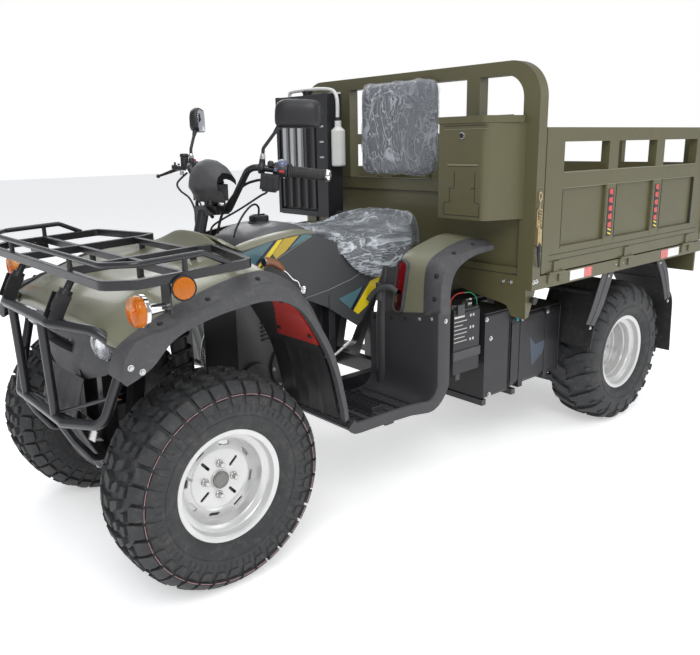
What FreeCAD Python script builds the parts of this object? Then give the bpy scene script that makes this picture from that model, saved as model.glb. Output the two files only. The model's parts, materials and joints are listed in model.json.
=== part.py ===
import FreeCAD, Part
import math
import os
import re

# Quad bike with a tipping dropside bed.
# Frame: +X forward, +Y to the left, +Z up, millimetres. The origin is on the ground, under the
# middle of the vehicle's length.

Vec = FreeCAD.Vector
os.makedirs("parts", exist_ok=True)
doc = FreeCAD.newDocument("quad_bike")

SIZES = {
    # whole vehicle
    "wheelbase": 2050,
    "front_reach": 360,
    "tyre_radius": 325,
    "tyre_width": 228,
    "front_track_half": 435,
    "rear_track_half": 510,
    "rim_radius": 158,
    "rim_flange": 12,
    "rim_wall": 4,
    "tread_depth": 16,
    "lug_count": 18,
    "rim_half": 86,
    "rim_hub": 62,
    "front_disc": 14,
    "rear_disc": -26,
    "running_gap": 0.3,
    # bed
    "bed_length": 1393,
    "bed_setback": 1225,
    "bed_half": 666,
    "bed_base": 738,
    "bed_top": 1320,
    "bed_rail_height": 50,
    "bed_rail_width": 40,
    "floor_thick": 8,
    "floor_step": 2,
    "gate_thick": 36,
    "panel_thick": 14,
    "gate_gap": 6,
    "gate_bottom_board": 92,
    "gate_mid_rail_low": 309,
    "gate_mid_rail_high": 366,
    "gate_window_high": 475,
    "gate_stile": 112,
    "gate_post": 70,
    "hoop_top": 1550,
    "hoop_tube": 48,
    "hoop_bend": 130,
    "hoop_inner": 368,
    "hoop_inner_width": 62,
    "hoop_mid_rail_low": 1080,
    "hoop_mid_rail_high": 1127,
    "channel_width": 58,
    "hinge_pin_radius": 10,
    "hinge_barrel": 6,
    "hinge_length": 100,
    "tail_board_drop": 92,
    "tail_board_thick": 12,
    # frame
    "rail_half": 150,
    "rail_width": 40,
    "rail_height": 60,
    "cradle_base": 340,
    "rear_rail_base": 606,
    "rear_rail_half": 230,
    "upper_rail_top": 864,
    "upper_rail_height": 30,
    "rack_seat": 878,
    "shelf_top": 284,
    "tow_plate": 12,
    "tow_hole_radius": 11,
    # engine
    "engine_length": 400,
    "engine_width": 230,
    "engine_height": 380,
    # bumper and rack
    "bumper_tube": 15,
    "rack_tube": 12.5,
    "rack_front": 290,
    "rack_height": 945,
    "rack_slope": 0.045,
    "rack_half": 527,
    "rack_inner": 190,
    "rack_length": 465,
    "rack_rail_rise": 50,
    "rack_rail_tube": 9,
    # bodywork
    "lamp_radius": 52,
    "shell": 4,
    "flare_thick": 5,
    "fender_half": 500,
    "fender_inner": 275,
    "fender_front": -860,
    "foot_half": 500,
    "foot_thick": 5,
    "tank_half": 150,
    "tank_top": 1008,
    # steering
    "column_tube": 20,
    "bar_tube": 11,
    "grip_radius": 17,
    "kingpin_half": 380,
    "kingpin_radius": 14,
}


def make_sheet():
    """Put the driving dimensions in the sheet, one per row, with the name beside the number."""
    sheet = doc.addObject("Spreadsheet::Sheet", "Sizes")
    for row, (alias, number) in enumerate(SIZES.items(), 1):
        sheet.set(f"A{row}", alias)
        sheet.set(f"B{row}", str(number))
        sheet.setAlias(f"B{row}", alias)
    doc.recompute()
    return sheet


class Values:
    """The sheet's numbers by name, with the places that follow from them."""

    def __init__(self, sheet):
        for alias in SIZES:
            setattr(self, alias, float(sheet.get(alias)))
        self.length = (self.front_reach + self.bed_setback + self.bed_length
                       + 2 * self.hinge_barrel)
        self.front_axle = self.length / 2 - self.front_reach
        self.rear_axle = self.front_axle - self.wheelbase
        self.rear_end = -self.length / 2
        self.tail_face = self.rear_end + 2 * self.hinge_barrel
        self.bed_front = self.front_axle - self.bed_setback
        self.rail_top = self.bed_base + self.bed_rail_height
        self.gate_low = self.rail_top + self.gate_gap
        self.frame_end = min(self.rear_end + 100, self.rear_axle - 345)
        self.tip_x = self.frame_end + 22
        self.tip_z = self.rear_rail_base + self.rail_height / 2
        self.lamp_place = (self.front_axle + 226, 282, 752)


sheet = make_sheet()
v = Values(sheet)
NODES = []


def ahead(x):
    """X of a point given from the front axle, forward positive."""
    return v.front_axle + x


def node(obj, label):
    """Name a finished sub-part: its label is its node's name."""
    obj.Label = label
    NODES.append(obj)
    return obj


def bind(obj, prop, text):
    """Tie a property to an expression over the sheet's names."""
    obj.setExpression(prop, re.sub(r"[a-z]\w*", r"Sizes.\g<0>", text))


def block(name, low, length, width, height):
    """A box whose three sizes are expressions over the sheet."""
    box = doc.addObject("Part::Box", name)
    for prop, text in (("Length", length), ("Width", width), ("Height", height)):
        bind(box, prop, str(text))
    box.Placement = FreeCAD.Placement(Vec(*low), FreeCAD.Rotation())
    return box


def rod(name, start, end, radius):
    """A round bar from start to end, its radius an expression over the sheet."""
    start, end = Vec(*start), Vec(*end)
    bar = doc.addObject("Part::Cylinder", name)
    bind(bar, "Radius", str(radius))
    bar.Height = (end - start).Length
    bar.Placement = FreeCAD.Placement(start, FreeCAD.Rotation(Vec(0, 0, 1), end - start))
    return bar


def union(name, pieces):
    """One solid from pieces that join."""
    fused = doc.addObject("Part::MultiFuse", name)
    fused.Shapes = pieces
    fused.Refine = True
    return fused


def group(name, pieces):
    """Like pieces that share a node and don't touch."""
    gathered = doc.addObject("Part::Compound", name)
    gathered.Links = pieces
    return gathered


def cut(name, base, tool):
    result = doc.addObject("Part::Cut", name)
    result.Base = base
    result.Tool = tool
    return result


def mirrored(piece, name):
    """The right-hand copy of a left-hand piece."""
    twin = doc.addObject("Part::Mirroring", name)
    twin.Source = piece
    twin.Normal = Vec(0, 1, 0)
    twin.Base = Vec(0, 0, 0)
    return twin


def pair(name, piece):
    return group(name, [piece, mirrored(piece, name + "_right")])


def both(name, pieces):
    """Fuse centre pieces with left pieces and their mirror images."""
    twins = [mirrored(p, p.Name + "_r") for p in pieces]
    return pieces + twins


def rounded_loop(points):
    """A closed outline of lines and arcs; a point is (x, y) or (x, y, corner radius)."""
    corners = []
    count = len(points)
    for i, point in enumerate(points):
        here = Vec(point[0], point[1], 0)
        radius = point[2] if len(point) > 2 else 0
        before = Vec(*points[i - 1][:2], 0) - here
        after = Vec(*points[(i + 1) % count][:2], 0) - here
        if radius <= 0:
            corners.append((here, here, None))
            continue
        before.normalize()
        after.normalize()
        half = before.getAngle(after) / 2
        reach = radius / math.tan(half)
        bisector = before + after
        bisector.normalize()
        centre = here + bisector * (radius / math.sin(half))
        corners.append((here + before * reach, here + after * reach, (centre, radius)))
    edges = []
    for i in range(count):
        entry, leave, arc = corners[i]
        if arc:
            centre, radius = arc
            start = math.atan2(entry.y - centre.y, entry.x - centre.x)
            end = math.atan2(leave.y - centre.y, leave.x - centre.x)
            turn = (end - start + math.pi) % (2 * math.pi) - math.pi
            if turn < 0:
                start, end = end, start
            circle = Part.Circle(centre, Vec(0, 0, 1), radius)
            edges.append(Part.ArcOfCircle(circle, start, start + abs(turn)))
        following = corners[(i + 1) % count][0]
        if (following - leave).Length > 1e-6:
            edges.append(Part.LineSegment(leave, following))
    return edges


def plate(name, plane, loops, start, depth):
    """A padded outline. plane is XY, XZ or YZ; it starts at the coordinate start and runs
    depth (an expression) along the plane's positive axis."""
    body = doc.addObject("PartDesign::Body", name)
    sketch = body.newObject("Sketcher::SketchObject", name + "_outline")
    role = plane + "_Plane"
    support = [f for f in body.Origin.OriginFeatures if f.Role == role][0]
    sketch.AttachmentSupport = [(support, "")]
    sketch.MapMode = "FlatFace"
    offset = -start if plane == "XZ" else start
    sketch.AttachmentOffset = FreeCAD.Placement(Vec(0, 0, offset), FreeCAD.Rotation())
    for loop in loops:
        sketch.addGeometry(rounded_loop(loop), False)
    pad = body.newObject("PartDesign::Pad", name + "_pad")
    pad.Profile = sketch
    bind(pad, "Length", str(depth))
    pad.Reversed = plane == "XZ"
    return body


def turned(name, profile, centre, axis):
    """A revolved outline: profile points are (distance along the axis, radius)."""
    body = doc.addObject("PartDesign::Body", name)
    sketch = body.newObject("Sketcher::SketchObject", name + "_profile")
    support = [f for f in body.Origin.OriginFeatures if f.Role == "XY_Plane"][0]
    sketch.AttachmentSupport = [(support, "")]
    sketch.MapMode = "FlatFace"
    sketch.addGeometry(rounded_loop(profile), False)
    spin = body.newObject("PartDesign::Revolution", name + "_turn")
    spin.Profile = sketch
    spin.ReferenceAxis = (sketch, ["H_Axis"])
    spin.Angle = 360
    body.Placement = FreeCAD.Placement(Vec(*centre), FreeCAD.Rotation(Vec(1, 0, 0), Vec(*axis)))
    return body


def path_wire(points, bend):
    """Straight runs joined by tangent arcs of the bend radius (or a list of radii)."""
    points = [Vec(*p) for p in points]
    bends = bend if isinstance(bend, (list, tuple)) else [bend] * (len(points) - 2)
    edges = []
    last = points[0]
    for i in range(1, len(points) - 1):
        here = points[i]
        before = (points[i - 1] - here).normalize()
        after = (points[i + 1] - here).normalize()
        half = before.getAngle(after) / 2
        reach = bends[i - 1] / math.tan(half)
        entry = here + before * reach
        leave = here + after * reach
        bisector = (before + after).normalize()
        middle = here + bisector * (bends[i - 1] / math.sin(half) - bends[i - 1])
        if (entry - last).Length > 1e-6:
            edges.append(Part.LineSegment(last, entry).toShape())
        edges.append(Part.Arc(entry, middle, leave).toShape())
        last = leave
    edges.append(Part.LineSegment(last, points[-1]).toShape())
    return Part.Wire(edges)


def tube(name, points, bend, radius):
    """A bent round tube, swept from a circle whose radius is an expression."""
    path = doc.addObject("Part::Feature", name + "_path")
    path.Shape = path_wire(points, bend)
    section = doc.addObject("Part::Circle", name + "_section")
    bind(section, "Radius", str(radius))
    heading = Vec(*points[1]) - Vec(*points[0])
    turn = FreeCAD.Rotation(Vec(0, 0, 1), heading)
    section.Placement = FreeCAD.Placement(Vec(*points[0]), turn)
    sweep = doc.addObject("Part::Sweep", name)
    sweep.Sections = [section]
    sweep.Spine = (path, [f"Edge{i + 1}" for i in range(len(path.Shape.Edges))])
    sweep.Solid = True
    return sweep


def spread(table, count):
    """Even steps along a smooth curve through the table's rows (first column is the step)."""
    rows = []
    for i in range(count):
        at = table[0][0] + (table[-1][0] - table[0][0]) * i / (count - 1)
        k = max(j for j in range(len(table) - 1) if table[j][0] <= at + 1e-9)
        low, high = table[k], table[k + 1]
        before, after = table[max(k - 1, 0)], table[min(k + 2, len(table) - 1)]
        span = high[0] - low[0]
        u = (at - low[0]) / span
        row = [at]
        for c in range(1, len(low)):
            rise_low = (high[c] - before[c]) / (high[0] - before[0]) * span
            rise_high = (after[c] - low[c]) / (after[0] - low[0]) * span
            row.append((2 * u**3 - 3 * u**2 + 1) * low[c] + (u**3 - 2 * u**2 + u) * rise_low
                       + (3 * u**2 - 2 * u**3) * high[c] + (u**3 - u**2) * rise_high)
        rows.append(row)
    return rows


def lofted(name, sections):
    """A solid ruled through closed sections of 3-D points."""
    wires = []
    for i, points in enumerate(sections):
        section = doc.addObject("Part::Feature", f"{name}_section{i}")
        section.Shape = Part.makePolygon([Vec(*p) for p in points + [points[0]]])
        wires.append(section)
    loft = doc.addObject("Part::Loft", name)
    loft.Sections = wires
    loft.Solid = True
    loft.Ruled = True
    return loft


def arch_strip(points, thick):
    """A strip of even thickness beside points (x, z, corner radius): to their left going
    along when thick is positive, to their right when negative."""
    beside = []
    flat = [Vec(x, z, 0) for x, z, r in points]
    for i, (here, point) in enumerate(zip(flat, points)):
        before = here - flat[i - 1] if i else flat[1] - here
        after = flat[i + 1] - here if i < len(flat) - 1 else before
        before, after = Vec(before).normalize(), Vec(after).normalize()
        normals = Vec(-before.y, before.x, 0), Vec(-after.y, after.x, 0)
        shift = (normals[0] + normals[1]) * (thick / (1 + normals[0].dot(normals[1])))
        turn = before.cross(after).z
        radius = point[2]
        if radius > 0:
            radius = radius - thick if turn > 0 else radius + thick
        beside.append((here.x + shift.x, here.y + shift.y, max(radius, 0)))
    return list(points) + beside[::-1]


def make_frame():
    """Cradle rails that kick up behind the engine to the rails that carry the bed."""
    low, rear = v.cradle_base, v.rear_rail_base
    deep, side = v.rail_height, v.rail_half
    top = v.cradle_base + deep
    front_x, kick_x, high_x = ahead(180), ahead(-1080), ahead(-1230)
    end_x = v.frame_end
    profile = [(front_x, low), (front_x, top), (kick_x, top, 40), (high_x, rear + deep, 40),
               (end_x, rear + deep), (end_x, rear), (high_x + 15, rear, 40),
               (kick_x - 15, low, 40)]
    left = plate("frame_rail", "XZ", [profile], side, "rail_width")
    upper, bar = v.upper_rail_top, v.upper_rail_height
    tower = plate("frame_tower", "XZ",
                  [[(ahead(150), top - 5), (ahead(75), upper, 30), (ahead(-1135), upper, 10),
                    (ahead(-1135), upper - bar, 10), (ahead(-1095), upper - bar, 10),
                    (ahead(-1000), top - 5), (ahead(-960), top - 5),
                    (ahead(-1050), upper - bar, 20), (ahead(40), upper - bar, 20),
                    (ahead(110), top - 5)]], side, "rail_width")
    pieces = [left, tower]
    for i, (x, low_z, high_z) in enumerate(((ahead(-90), top - 5, upper - 5),
                                            (ahead(-680), top - 5, upper - 5))):
        pieces.append(block(f"frame_post{i}", (x, side, low_z), "upper_rail_height", "rail_width",
                            f"{high_z - low_z}"))
    # seats for the legs of the front rack, on the upper rails
    for i, x in enumerate((ahead(60), ahead(-118))):
        pieces.append(block(f"frame_rack_seat{i}", (x - 20, side, upper - 5), "rail_width",
                            "rail_width + 10", f"{v.rack_seat - upper + 5}"))
    # nose posts behind the fascia
    pieces.append(block("frame_nose_post", (ahead(140), 60, low + 20), "rail_width",
                        "rail_width", f"{upper - low - 20}"))
    pieces.append(block("frame_nose_top", (ahead(20), 60, upper - 26), "160", "rail_width", "26"))
    # hangers and bars under the side boxes and the tank
    shelf = v.shelf_top
    for i, x in enumerate((ahead(-1190), ahead(-1380), ahead(-1650))):
        top_z = rear + 5 if i else low + 220
        pieces.append(block(f"frame_hanger{i}", (x, side, shelf - 24), "24", "rail_width",
                            f"{top_z - shelf + 24}"))
        pieces.append(block(f"frame_shelf{i}", (x, side, shelf - 24), "24",
                            f"foot_half - {side}", "24"))
    pieces.append(block("frame_battery_bar", (ahead(-1040), side, top - 2), "24", "340", "24"))
    # outriggers for the leaf springs and the rear guards
    for i, dx in enumerate((262, -302)):
        pieces.append(block(f"frame_outrigger{i}", (v.rear_axle + dx, side, rear),
                            "rail_width", "rear_rail_half + 20 - rail_half", "rail_height - 6"))
    pieces.append(rod("frame_hinge_pin", (v.tip_x, 0, v.tip_z), (v.tip_x, side + 72, v.tip_z),
                      "hinge_pin_radius"))
    centre = []
    for i, (x, z) in enumerate(((ahead(110), low), (ahead(-340), low), (ahead(-700), low),
                                (ahead(-1000), low), (ahead(-1400), rear), (v.rear_axle, rear),
                                (end_x + 40, rear))):
        centre.append(block(f"frame_cross{i}", (x, -side, z), "rail_width", "2 * rail_half",
                            "rail_height"))
    for i, x in enumerate((ahead(20), ahead(-235), ahead(-680), ahead(-1130))):
        centre.append(block(f"frame_top_cross{i}", (x, -side, upper - bar), "rail_width",
                            "2 * rail_half", "upper_rail_height - 4"))
    centre.append(block("frame_step_beam", (ahead(-700), 20 - v.foot_half, low - 28), "rail_width",
                        "2 * foot_half - 40", "28"))
    centre.append(make_collar())
    tow = plate("frame_tow_plate", "XY",
                [[(end_x - 60, -45, 30), (end_x - 60, 45, 30), (end_x + 45, 45), (end_x + 45, -45)]],
                rear, "tow_plate")
    hole = rod("frame_tow_hole", (end_x - 30, 0, rear - 10), (end_x - 30, 0, rear + 30),
               "tow_hole_radius")
    centre.append(cut("frame_tow", tow, hole))
    return node(union("frame", centre + both("frame", pieces)), "frame")


def make_collar():
    """Bearing collar on the upper cross tube, which the steering column turns in."""
    axis = steer_point(1) - steer_point(0)
    bore, wall = v.column_tube + v.running_gap, 9
    collar = turned("frame_collar", [(0, bore), (0, bore + wall), (46, bore + wall), (46, bore)],
                    steer_point(-20), axis)
    return collar


def make_engine():
    low = (ahead(-700), -v.engine_width / 2, v.cradle_base + v.rail_height)
    return node(block("engine_block", low, "engine_length", "engine_width", "engine_height"),
                "engine_block")


def make_front_bumper():
    """Tube bumper: a centre section with two bars and wings that sweep back."""
    radius = v.bumper_tube
    front = ahead(v.front_reach) - radius
    top, base = 812, 515
    wing = [(front, 190, top), (front - 78, 352, top - 10), (front - 126, 384, 728),
            (front - 62, 350, base + 22), (front - 8, 190, base), (front - 8, 90, base)]
    bends = [70, 40, 60, 50, 70]
    hoop = tube("bumper_loop", [(x, -y, z) for x, y, z in reversed(wing)] + wing,
                bends[::-1] + bends, "bumper_tube")
    low_bar = rod("bumper_low_bar", (front - 8, -110, base), (front - 8, 110, base),
                  "bumper_tube - 0.5")
    bar = rod("bumper_bar", (front, 129, top), (front - 8, 129, base), "bumper_tube * 0.8")
    foot = v.cradle_base + v.rail_height / 2
    stay = tube("bumper_stay", [(front - 6, 150, base + 3), (front - 40, 160, base - 70),
                                (front - 90, 170, foot),
                                (ahead(180) + v.running_gap, 170, foot)], [25, 30],
                "bumper_tube * 0.8")
    strut = rod("bumper_strut", (front, 205, top - 3),
                (ahead(270), 205, rack_z(270) - v.rack_tube - 3), "bumper_tube * 0.7")
    parts = [hoop, low_bar] + both("front_bumper", [bar, stay, strut])
    return node(union("front_bumper", parts), "front_bumper")


def rack_z(x):
    """Height of the rack's tubes, which rise gently to the rear. x is from the front axle."""
    return v.rack_height + v.rack_slope * (v.rack_front - x)


def make_front_rack():
    """Flat rack whose side bars turn in at the rear and run forward again, with a raised rail."""
    def at(x, y, up=0):
        return (ahead(x), y, rack_z(x) + up)

    front, corner, rear = v.rack_front, v.rack_front - 62, v.rack_front - v.rack_length
    half, inner, rise = v.rack_half, v.rack_inner, v.rack_rail_rise
    base = tube("rack_base", [at(front, 0), at(front, half - 62), at(corner, half),
                              at(rear + 72, half), at(rear, inner + 22), at(rear + 46, inner),
                              at(front, inner)], [50, 50, 26, 20, 30], "rack_tube")
    cross = rod("rack_cross", at(95, 0), at(95, half), "rack_tube * 0.9")
    centre = rod("rack_centre", at(-100, 0), at(-100, inner), "rack_tube * 0.9")
    rail = tube("rack_rail", [at(front, 0, rise), at(front, half - 62, rise),
                              at(corner, half, rise), at(40, half, rise), at(-40, half, 6)],
                [50, 50, 24], "rack_rail_tube")
    posts = [rod("rack_post0", at(front, 250), at(front, 250, rise), "rack_rail_tube"),
             rod("rack_post1", at(95, half), at(95, half, rise), "rack_rail_tube")]
    legs = []
    for i, x in enumerate((60, -118)):
        foot = (ahead(x), v.rack_inner - 10, v.rack_seat + v.running_gap)
        legs.append(rod(f"rack_leg{i}", foot, (foot[0], foot[1], rack_z(x)), "rack_tube * 0.8"))
    hanger = block("rack_lamp_plate", (ahead(140), half - 45, 856), "6", "50",
                   f"{rack_z(140) - 856}")
    parts = both("front_rack", [base, cross, centre, rail, hanger] + posts + legs)
    return node(union("front_rack", parts), "front_rack")


def make_front_cowl():
    """Curved fascia behind the bumper with a grille opening and two lamp openings, and the
    skid plate that curves under the nose."""
    nose, wing, back = ahead(268), ahead(205), ahead(192)
    outer = [(nose, -200, 160), (wing, -356, 20), (back, -356), (nose - 18, -192, 150),
             (nose - 18, 192, 150), (back, 356), (wing, 356, 20), (nose, 200, 160)]
    plan = plate("cowl_plan", "XY", [outer], 590, "265")
    face = plate("cowl_front", "YZ",
                 [[(-250, 640, 40), (-356, 700, 30), (-352, 798, 20), (-150, 826, 40),
                   (150, 826, 40), (352, 798, 20), (356, 700, 30), (250, 640, 40),
                   (130, 600, 20), (-130, 600, 20)],
                  [(-120, 668, 20), (-105, 750, 20), (105, 750, 20), (120, 668, 20)]],
                 ahead(150), "160")
    shell = doc.addObject("Part::MultiCommon", "cowl_shell")
    shell.Shapes = [plan, face]
    x, y, z = v.lamp_place
    hole = rod("cowl_lamp_hole", (x - 90, y, z), (x + 60, y, z), f"lamp_radius + {v.running_gap}")
    opened = cut("cowl_open", cut("cowl_open_left", shell, hole), mirrored(hole, "cowl_hole_r"))
    skid_line = [(ahead(250), 615, 0), (ahead(300), 470, 90), (ahead(215), 290, 90),
                 (ahead(-40), 225, 0)]
    skid = plate("cowl_skid", "XZ", [arch_strip(skid_line, 8)], -140, "280")
    boss = block("cowl_boss", (ahead(180) + v.running_gap, 60, 605), f"{nose - ahead(190)}",
                 "rail_width", "30")
    rib = block("cowl_neck", (nose - 30, -100, 600), "22", "200", "30")
    parts = [opened, skid, rib] + both("cowl", [boss])
    return node(union("front_cowl", parts), "front_cowl")


def make_lamps():
    x, y, z = v.lamp_place
    lens = turned("headlamp_lens", [(0, 0), (0, v.lamp_radius - 14), (34, v.lamp_radius),
                                    (60, v.lamp_radius), (78, 28, 18), (80, 0)],
                  (x - 40, y, z), (1, 0, 0))
    node(pair("headlamps", lens), "headlamps")
    at = (ahead(146) + v.running_gap, v.rack_half - 27, 874)
    lamp = turned("turn_lamp", [(0, 0), (0, 11), (44, 16), (46, 38, 6), (58, 42, 4), (84, 40, 12),
                                (92, 20, 10), (94, 0)], at, (1, 0, 0))
    side = turned("side_reflector", [(0, 0), (0, 33), (9, 33, 3), (9, 0)],
                  (ahead(111), v.rack_half + v.rack_tube + v.running_gap, 925), (0, 1, 0))
    node(pair("turn_lamps", group("turn_lamp_set", [lamp, side])), "turn_lamps")


# The front fender's lines at angles round the wheel from straight ahead: the radius of its
# arch edge, of its shoulder and of its seam with the hood, and the seam's distance out.
FENDER_LINES = [(53, 463, 478, 484, 447), (58, 454, 515, 522, 450), (64, 455, 534, 531, 453),
                (73, 484, 515, 536, 456), (85, 500, 523, 556, 456), (96, 518, 547, 588, 456),
                (107, 545, 588, 625, 456), (114, 553, 597, 626, 458), (121, 545, 575, 612, 462),
                (128, 522, 548, 580, 474), (134, 504, 530, 546, 486), (155, 456, 480, 488, 492),
                (170, 442, 464, 470, 494)]
HOOD_START = 64
SEAM_END = 110


def around(angle, radius, y):
    """A point at an angle and radius round the left front wheel's centre."""
    turn = math.radians(angle)
    return (ahead(radius * math.cos(turn)), y, v.tyre_radius + radius * math.sin(turn))


def make_flares():
    """Outer flare: it rises from the arch edge to a shoulder, then leans in to the hood seam."""
    out, thick = v.fender_half, v.flare_thick
    sections = []
    for angle, edge, shoulder, seam, seam_y in spread(FENDER_LINES, 30):
        over = [around(angle, edge, out + 25), around(angle, shoulder, out + 18),
                around(angle, seam, seam_y + v.running_gap)]
        under = [around(angle, seam - thick, seam_y + v.running_gap),
                 around(angle, shoulder - thick, out + 18 - thick),
                 around(angle, edge, out + 25 - thick)]
        sections.append(over + under)
    node(pair("front_flares", lofted("flare_left", sections)), "front_flares")


# The hood's crown by distance from the front axle: its height at the middle, the height of
# its shoulder at a third of the width, and the height of the crease beside the seam.
HOOD_LINES = [(-215, 1010, 952), (-203, 990, 948), (-188, 942, 936), (-120, 940, 936),
              (-60, 932, 930), (0, 922, 918), (80, 903, 900), (160, 880, 872), (240, 846, 838)]


def hood_height(x, column):
    """Height of the hood along one of its lines at x from the front axle."""
    low = max(row for row in HOOD_LINES if row[0] <= max(x, HOOD_LINES[0][0]))
    later = [row for row in HOOD_LINES if row[0] > low[0]]
    high = later[0] if later else low
    share = (x - low[0]) / (high[0] - low[0]) if later else 0
    return low[column] + (high[column] - low[column]) * share


def make_front_body():
    """Olive hood and fender tops in one shell, with holes for the rack's legs."""
    thick = v.shell
    sections = []
    for angle, edge, shoulder, seam, seam_y in spread(FENDER_LINES, 40):
        if not HOOD_START <= angle <= SEAM_END:
            continue
        x, _, z = around(angle, seam, 0)
        crown, mid = (hood_height(x - v.front_axle, c) for c in (1, 2))
        half = [(0, crown), (60, crown), (200, mid), (seam_y - 60, z + 12), (seam_y, z)]
        over = [(x, -y, h) for y, h in reversed(half)] + [(x, y, h) for y, h in half[1:]]
        under = [(x, y, h - thick) for _, y, h in reversed(over)]
        sections.append(over + under)
    hood = lofted("hood_shell", sections)
    last = sections[-1][0][0]
    rear_top = [(last + 4, [(-190, 955), (-60, 1010), (60, 1010), (190, 955)]),
                (ahead(-350), [(-190, 905), (-60, 958), (60, 958), (190, 905)])]
    rear_sections = []
    for x, over in rear_top:
        under = [(y, h - thick) for y, h in reversed(over)]
        rear_sections.append([(x, y, h) for y, h in over + under])
    rear = lofted("hood_rear", rear_sections)
    boss = block("hood_boss", (ahead(100), -20, v.upper_rail_top + v.running_gap), "30", "40", "30")
    holes = []
    for i, x in enumerate((60, -118)):
        for j, side in enumerate((-1, 1)):
            centre = (ahead(x), side * (v.rack_inner - 10), v.rack_seat - 60)
            holes.append(rod(f"hood_hole{i}{j}", centre, (centre[0], centre[1], 1100),
                             "rack_tube * 0.8 + 4"))
    holes.append(rod("hood_column_hole", steer_point(0), steer_point(300), "column_tube + 14"))
    tool = union("hood_holes", holes)
    return node(cut("front_body", union("hood", [hood, rear, boss]), tool), "front_body")


def make_guards():
    """Inner guards behind the front wheels, from the arch down to the footboards."""
    thick = 5
    rows = [row for row in spread(FENDER_LINES, 30) if row[0] >= SEAM_END - 6]
    inner, outer = v.rail_half + v.rail_width + v.running_gap, 485
    sections = []
    for angle, edge, shoulder, seam, seam_y in rows:
        sections.append([around(angle, edge + 3, inner), around(angle, edge + 3, outer),
                         around(angle, edge + 3 + thick, outer),
                         around(angle, edge + 3 + thick, inner)])
    node(pair("inner_guards", lofted("guard_left", sections)), "inner_guards")


def make_footwells():
    """Footboards between the wheel guard and the rear fender, with a raised rear wall that
    turns back along the outside."""
    floor = v.cradle_base + v.running_gap
    thick, inner = v.foot_thick, v.rail_half + v.rail_width + v.running_gap
    outer, wall, top = v.foot_half + 12, ahead(v.fender_front) + v.running_gap, 705
    profile = [(ahead(-474), floor + 46, 0), (ahead(-490), floor, 20), (wall, floor, 55),
               (wall, top, 0)]
    tray = plate("foot_tray", "XZ", [arch_strip(profile, -thick)], inner,
                 f"foot_half + 12 - {inner}")
    side = plate("foot_side", "XZ",
                 [[(wall + 80, floor), (wall - 45, floor, 45), (wall - 98, 410, 40),
                   (wall - 98, top - 17), (wall + 4, top - 17), (wall + 4, 400, 50), (wall + 54, floor + 4)]],
                 outer - 6, "6")
    rim = block("foot_rim", (wall + 48, outer - 6, floor - 22), "320", "6", "32")
    post = rod("foot_post", (wall + 4, 250, floor + 40), (wall + 2, 250, 872), "14")
    ribs = [block(f"foot_rib{i}", (wall + 40 + 55 * i, inner + 60, floor + thick - 1), "14",
                  "220", "9") for i in range(6)]
    pegs = block("foot_peg", (ahead(-690), inner + 20, floor + thick - 1), "60", "230", "26")
    pieces = [tray, side, rim, post, pegs] + ribs
    node(pair("footwells", union("footwell_left", pieces)), "footwells")


# The rear fender's side view at its inner half and at its shoulder, from the front up and back.
FENDER_INNER = [(-860, 690), (-860, 800), (-859, 850), (-871, 895), (-903, 927), (-950, 942),
                (-1050, 945), (-1150, 938)]
FENDER_OUTER = [(-860, 690), (-860, 790), (-861, 830), (-874, 862), (-904, 882), (-950, 893),
                (-1050, 902), (-1150, 900)]


def thickened(line, thick):
    """A strip's closed outline: the line and the same line moved inward, to its left."""
    inner = []
    for i, (x, z) in enumerate(line):
        (x0, z0), (x1, z1) = line[max(i - 1, 0)], line[min(i + 1, len(line) - 1)]
        run = math.hypot(x1 - x0, z1 - z0)
        inner.append((x - (z1 - z0) / run * thick, z + (x1 - x0) / run * thick))
    return line + inner[::-1]


def make_rear_fenders():
    """Olive fender behind each footboard, with the grey arch trim on its side."""
    inner, outer = v.fender_inner, v.fender_half - 4 - v.running_gap
    sections = [[(ahead(x), y, z) for x, z in thickened(line, 6)]
                for y, line in ((inner, FENDER_INNER), (400, FENDER_INNER), (outer, FENDER_OUTER))]
    shell = lofted("rear_fender_shell", sections)
    side = v.rail_half + v.rail_width + v.running_gap
    foot = block("rear_fender_foot", (ahead(-1132), side, 838), "32", f"{inner + 30 - side}", "20")
    riser = block("rear_fender_riser", (ahead(-1132), inner + 2, 845), "32", "28", "91")
    node(pair("rear_fenders", union("rear_fender_left", [shell, foot, riser])), "rear_fenders")
    arch = [(ahead(-958), 690, 0), (ahead(-961), 735, 60), (ahead(-1004), 797, 80),
            (ahead(-1079), 838, 150), (ahead(-1150), 864, 0)]
    outline = [(ahead(x), z) for x, z in FENDER_OUTER] + \
        [point if point[2] else point[:2] for point in reversed(arch)]
    web = plate("rear_flare_web", "XZ", [outline], v.fender_half - 4, "5")
    lip = plate("rear_flare_lip", "XZ", [arch_strip(arch, -9)], v.fender_half, "26")
    node(pair("rear_flares", union("rear_flare_left", [web, lip])), "rear_flares")


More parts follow.
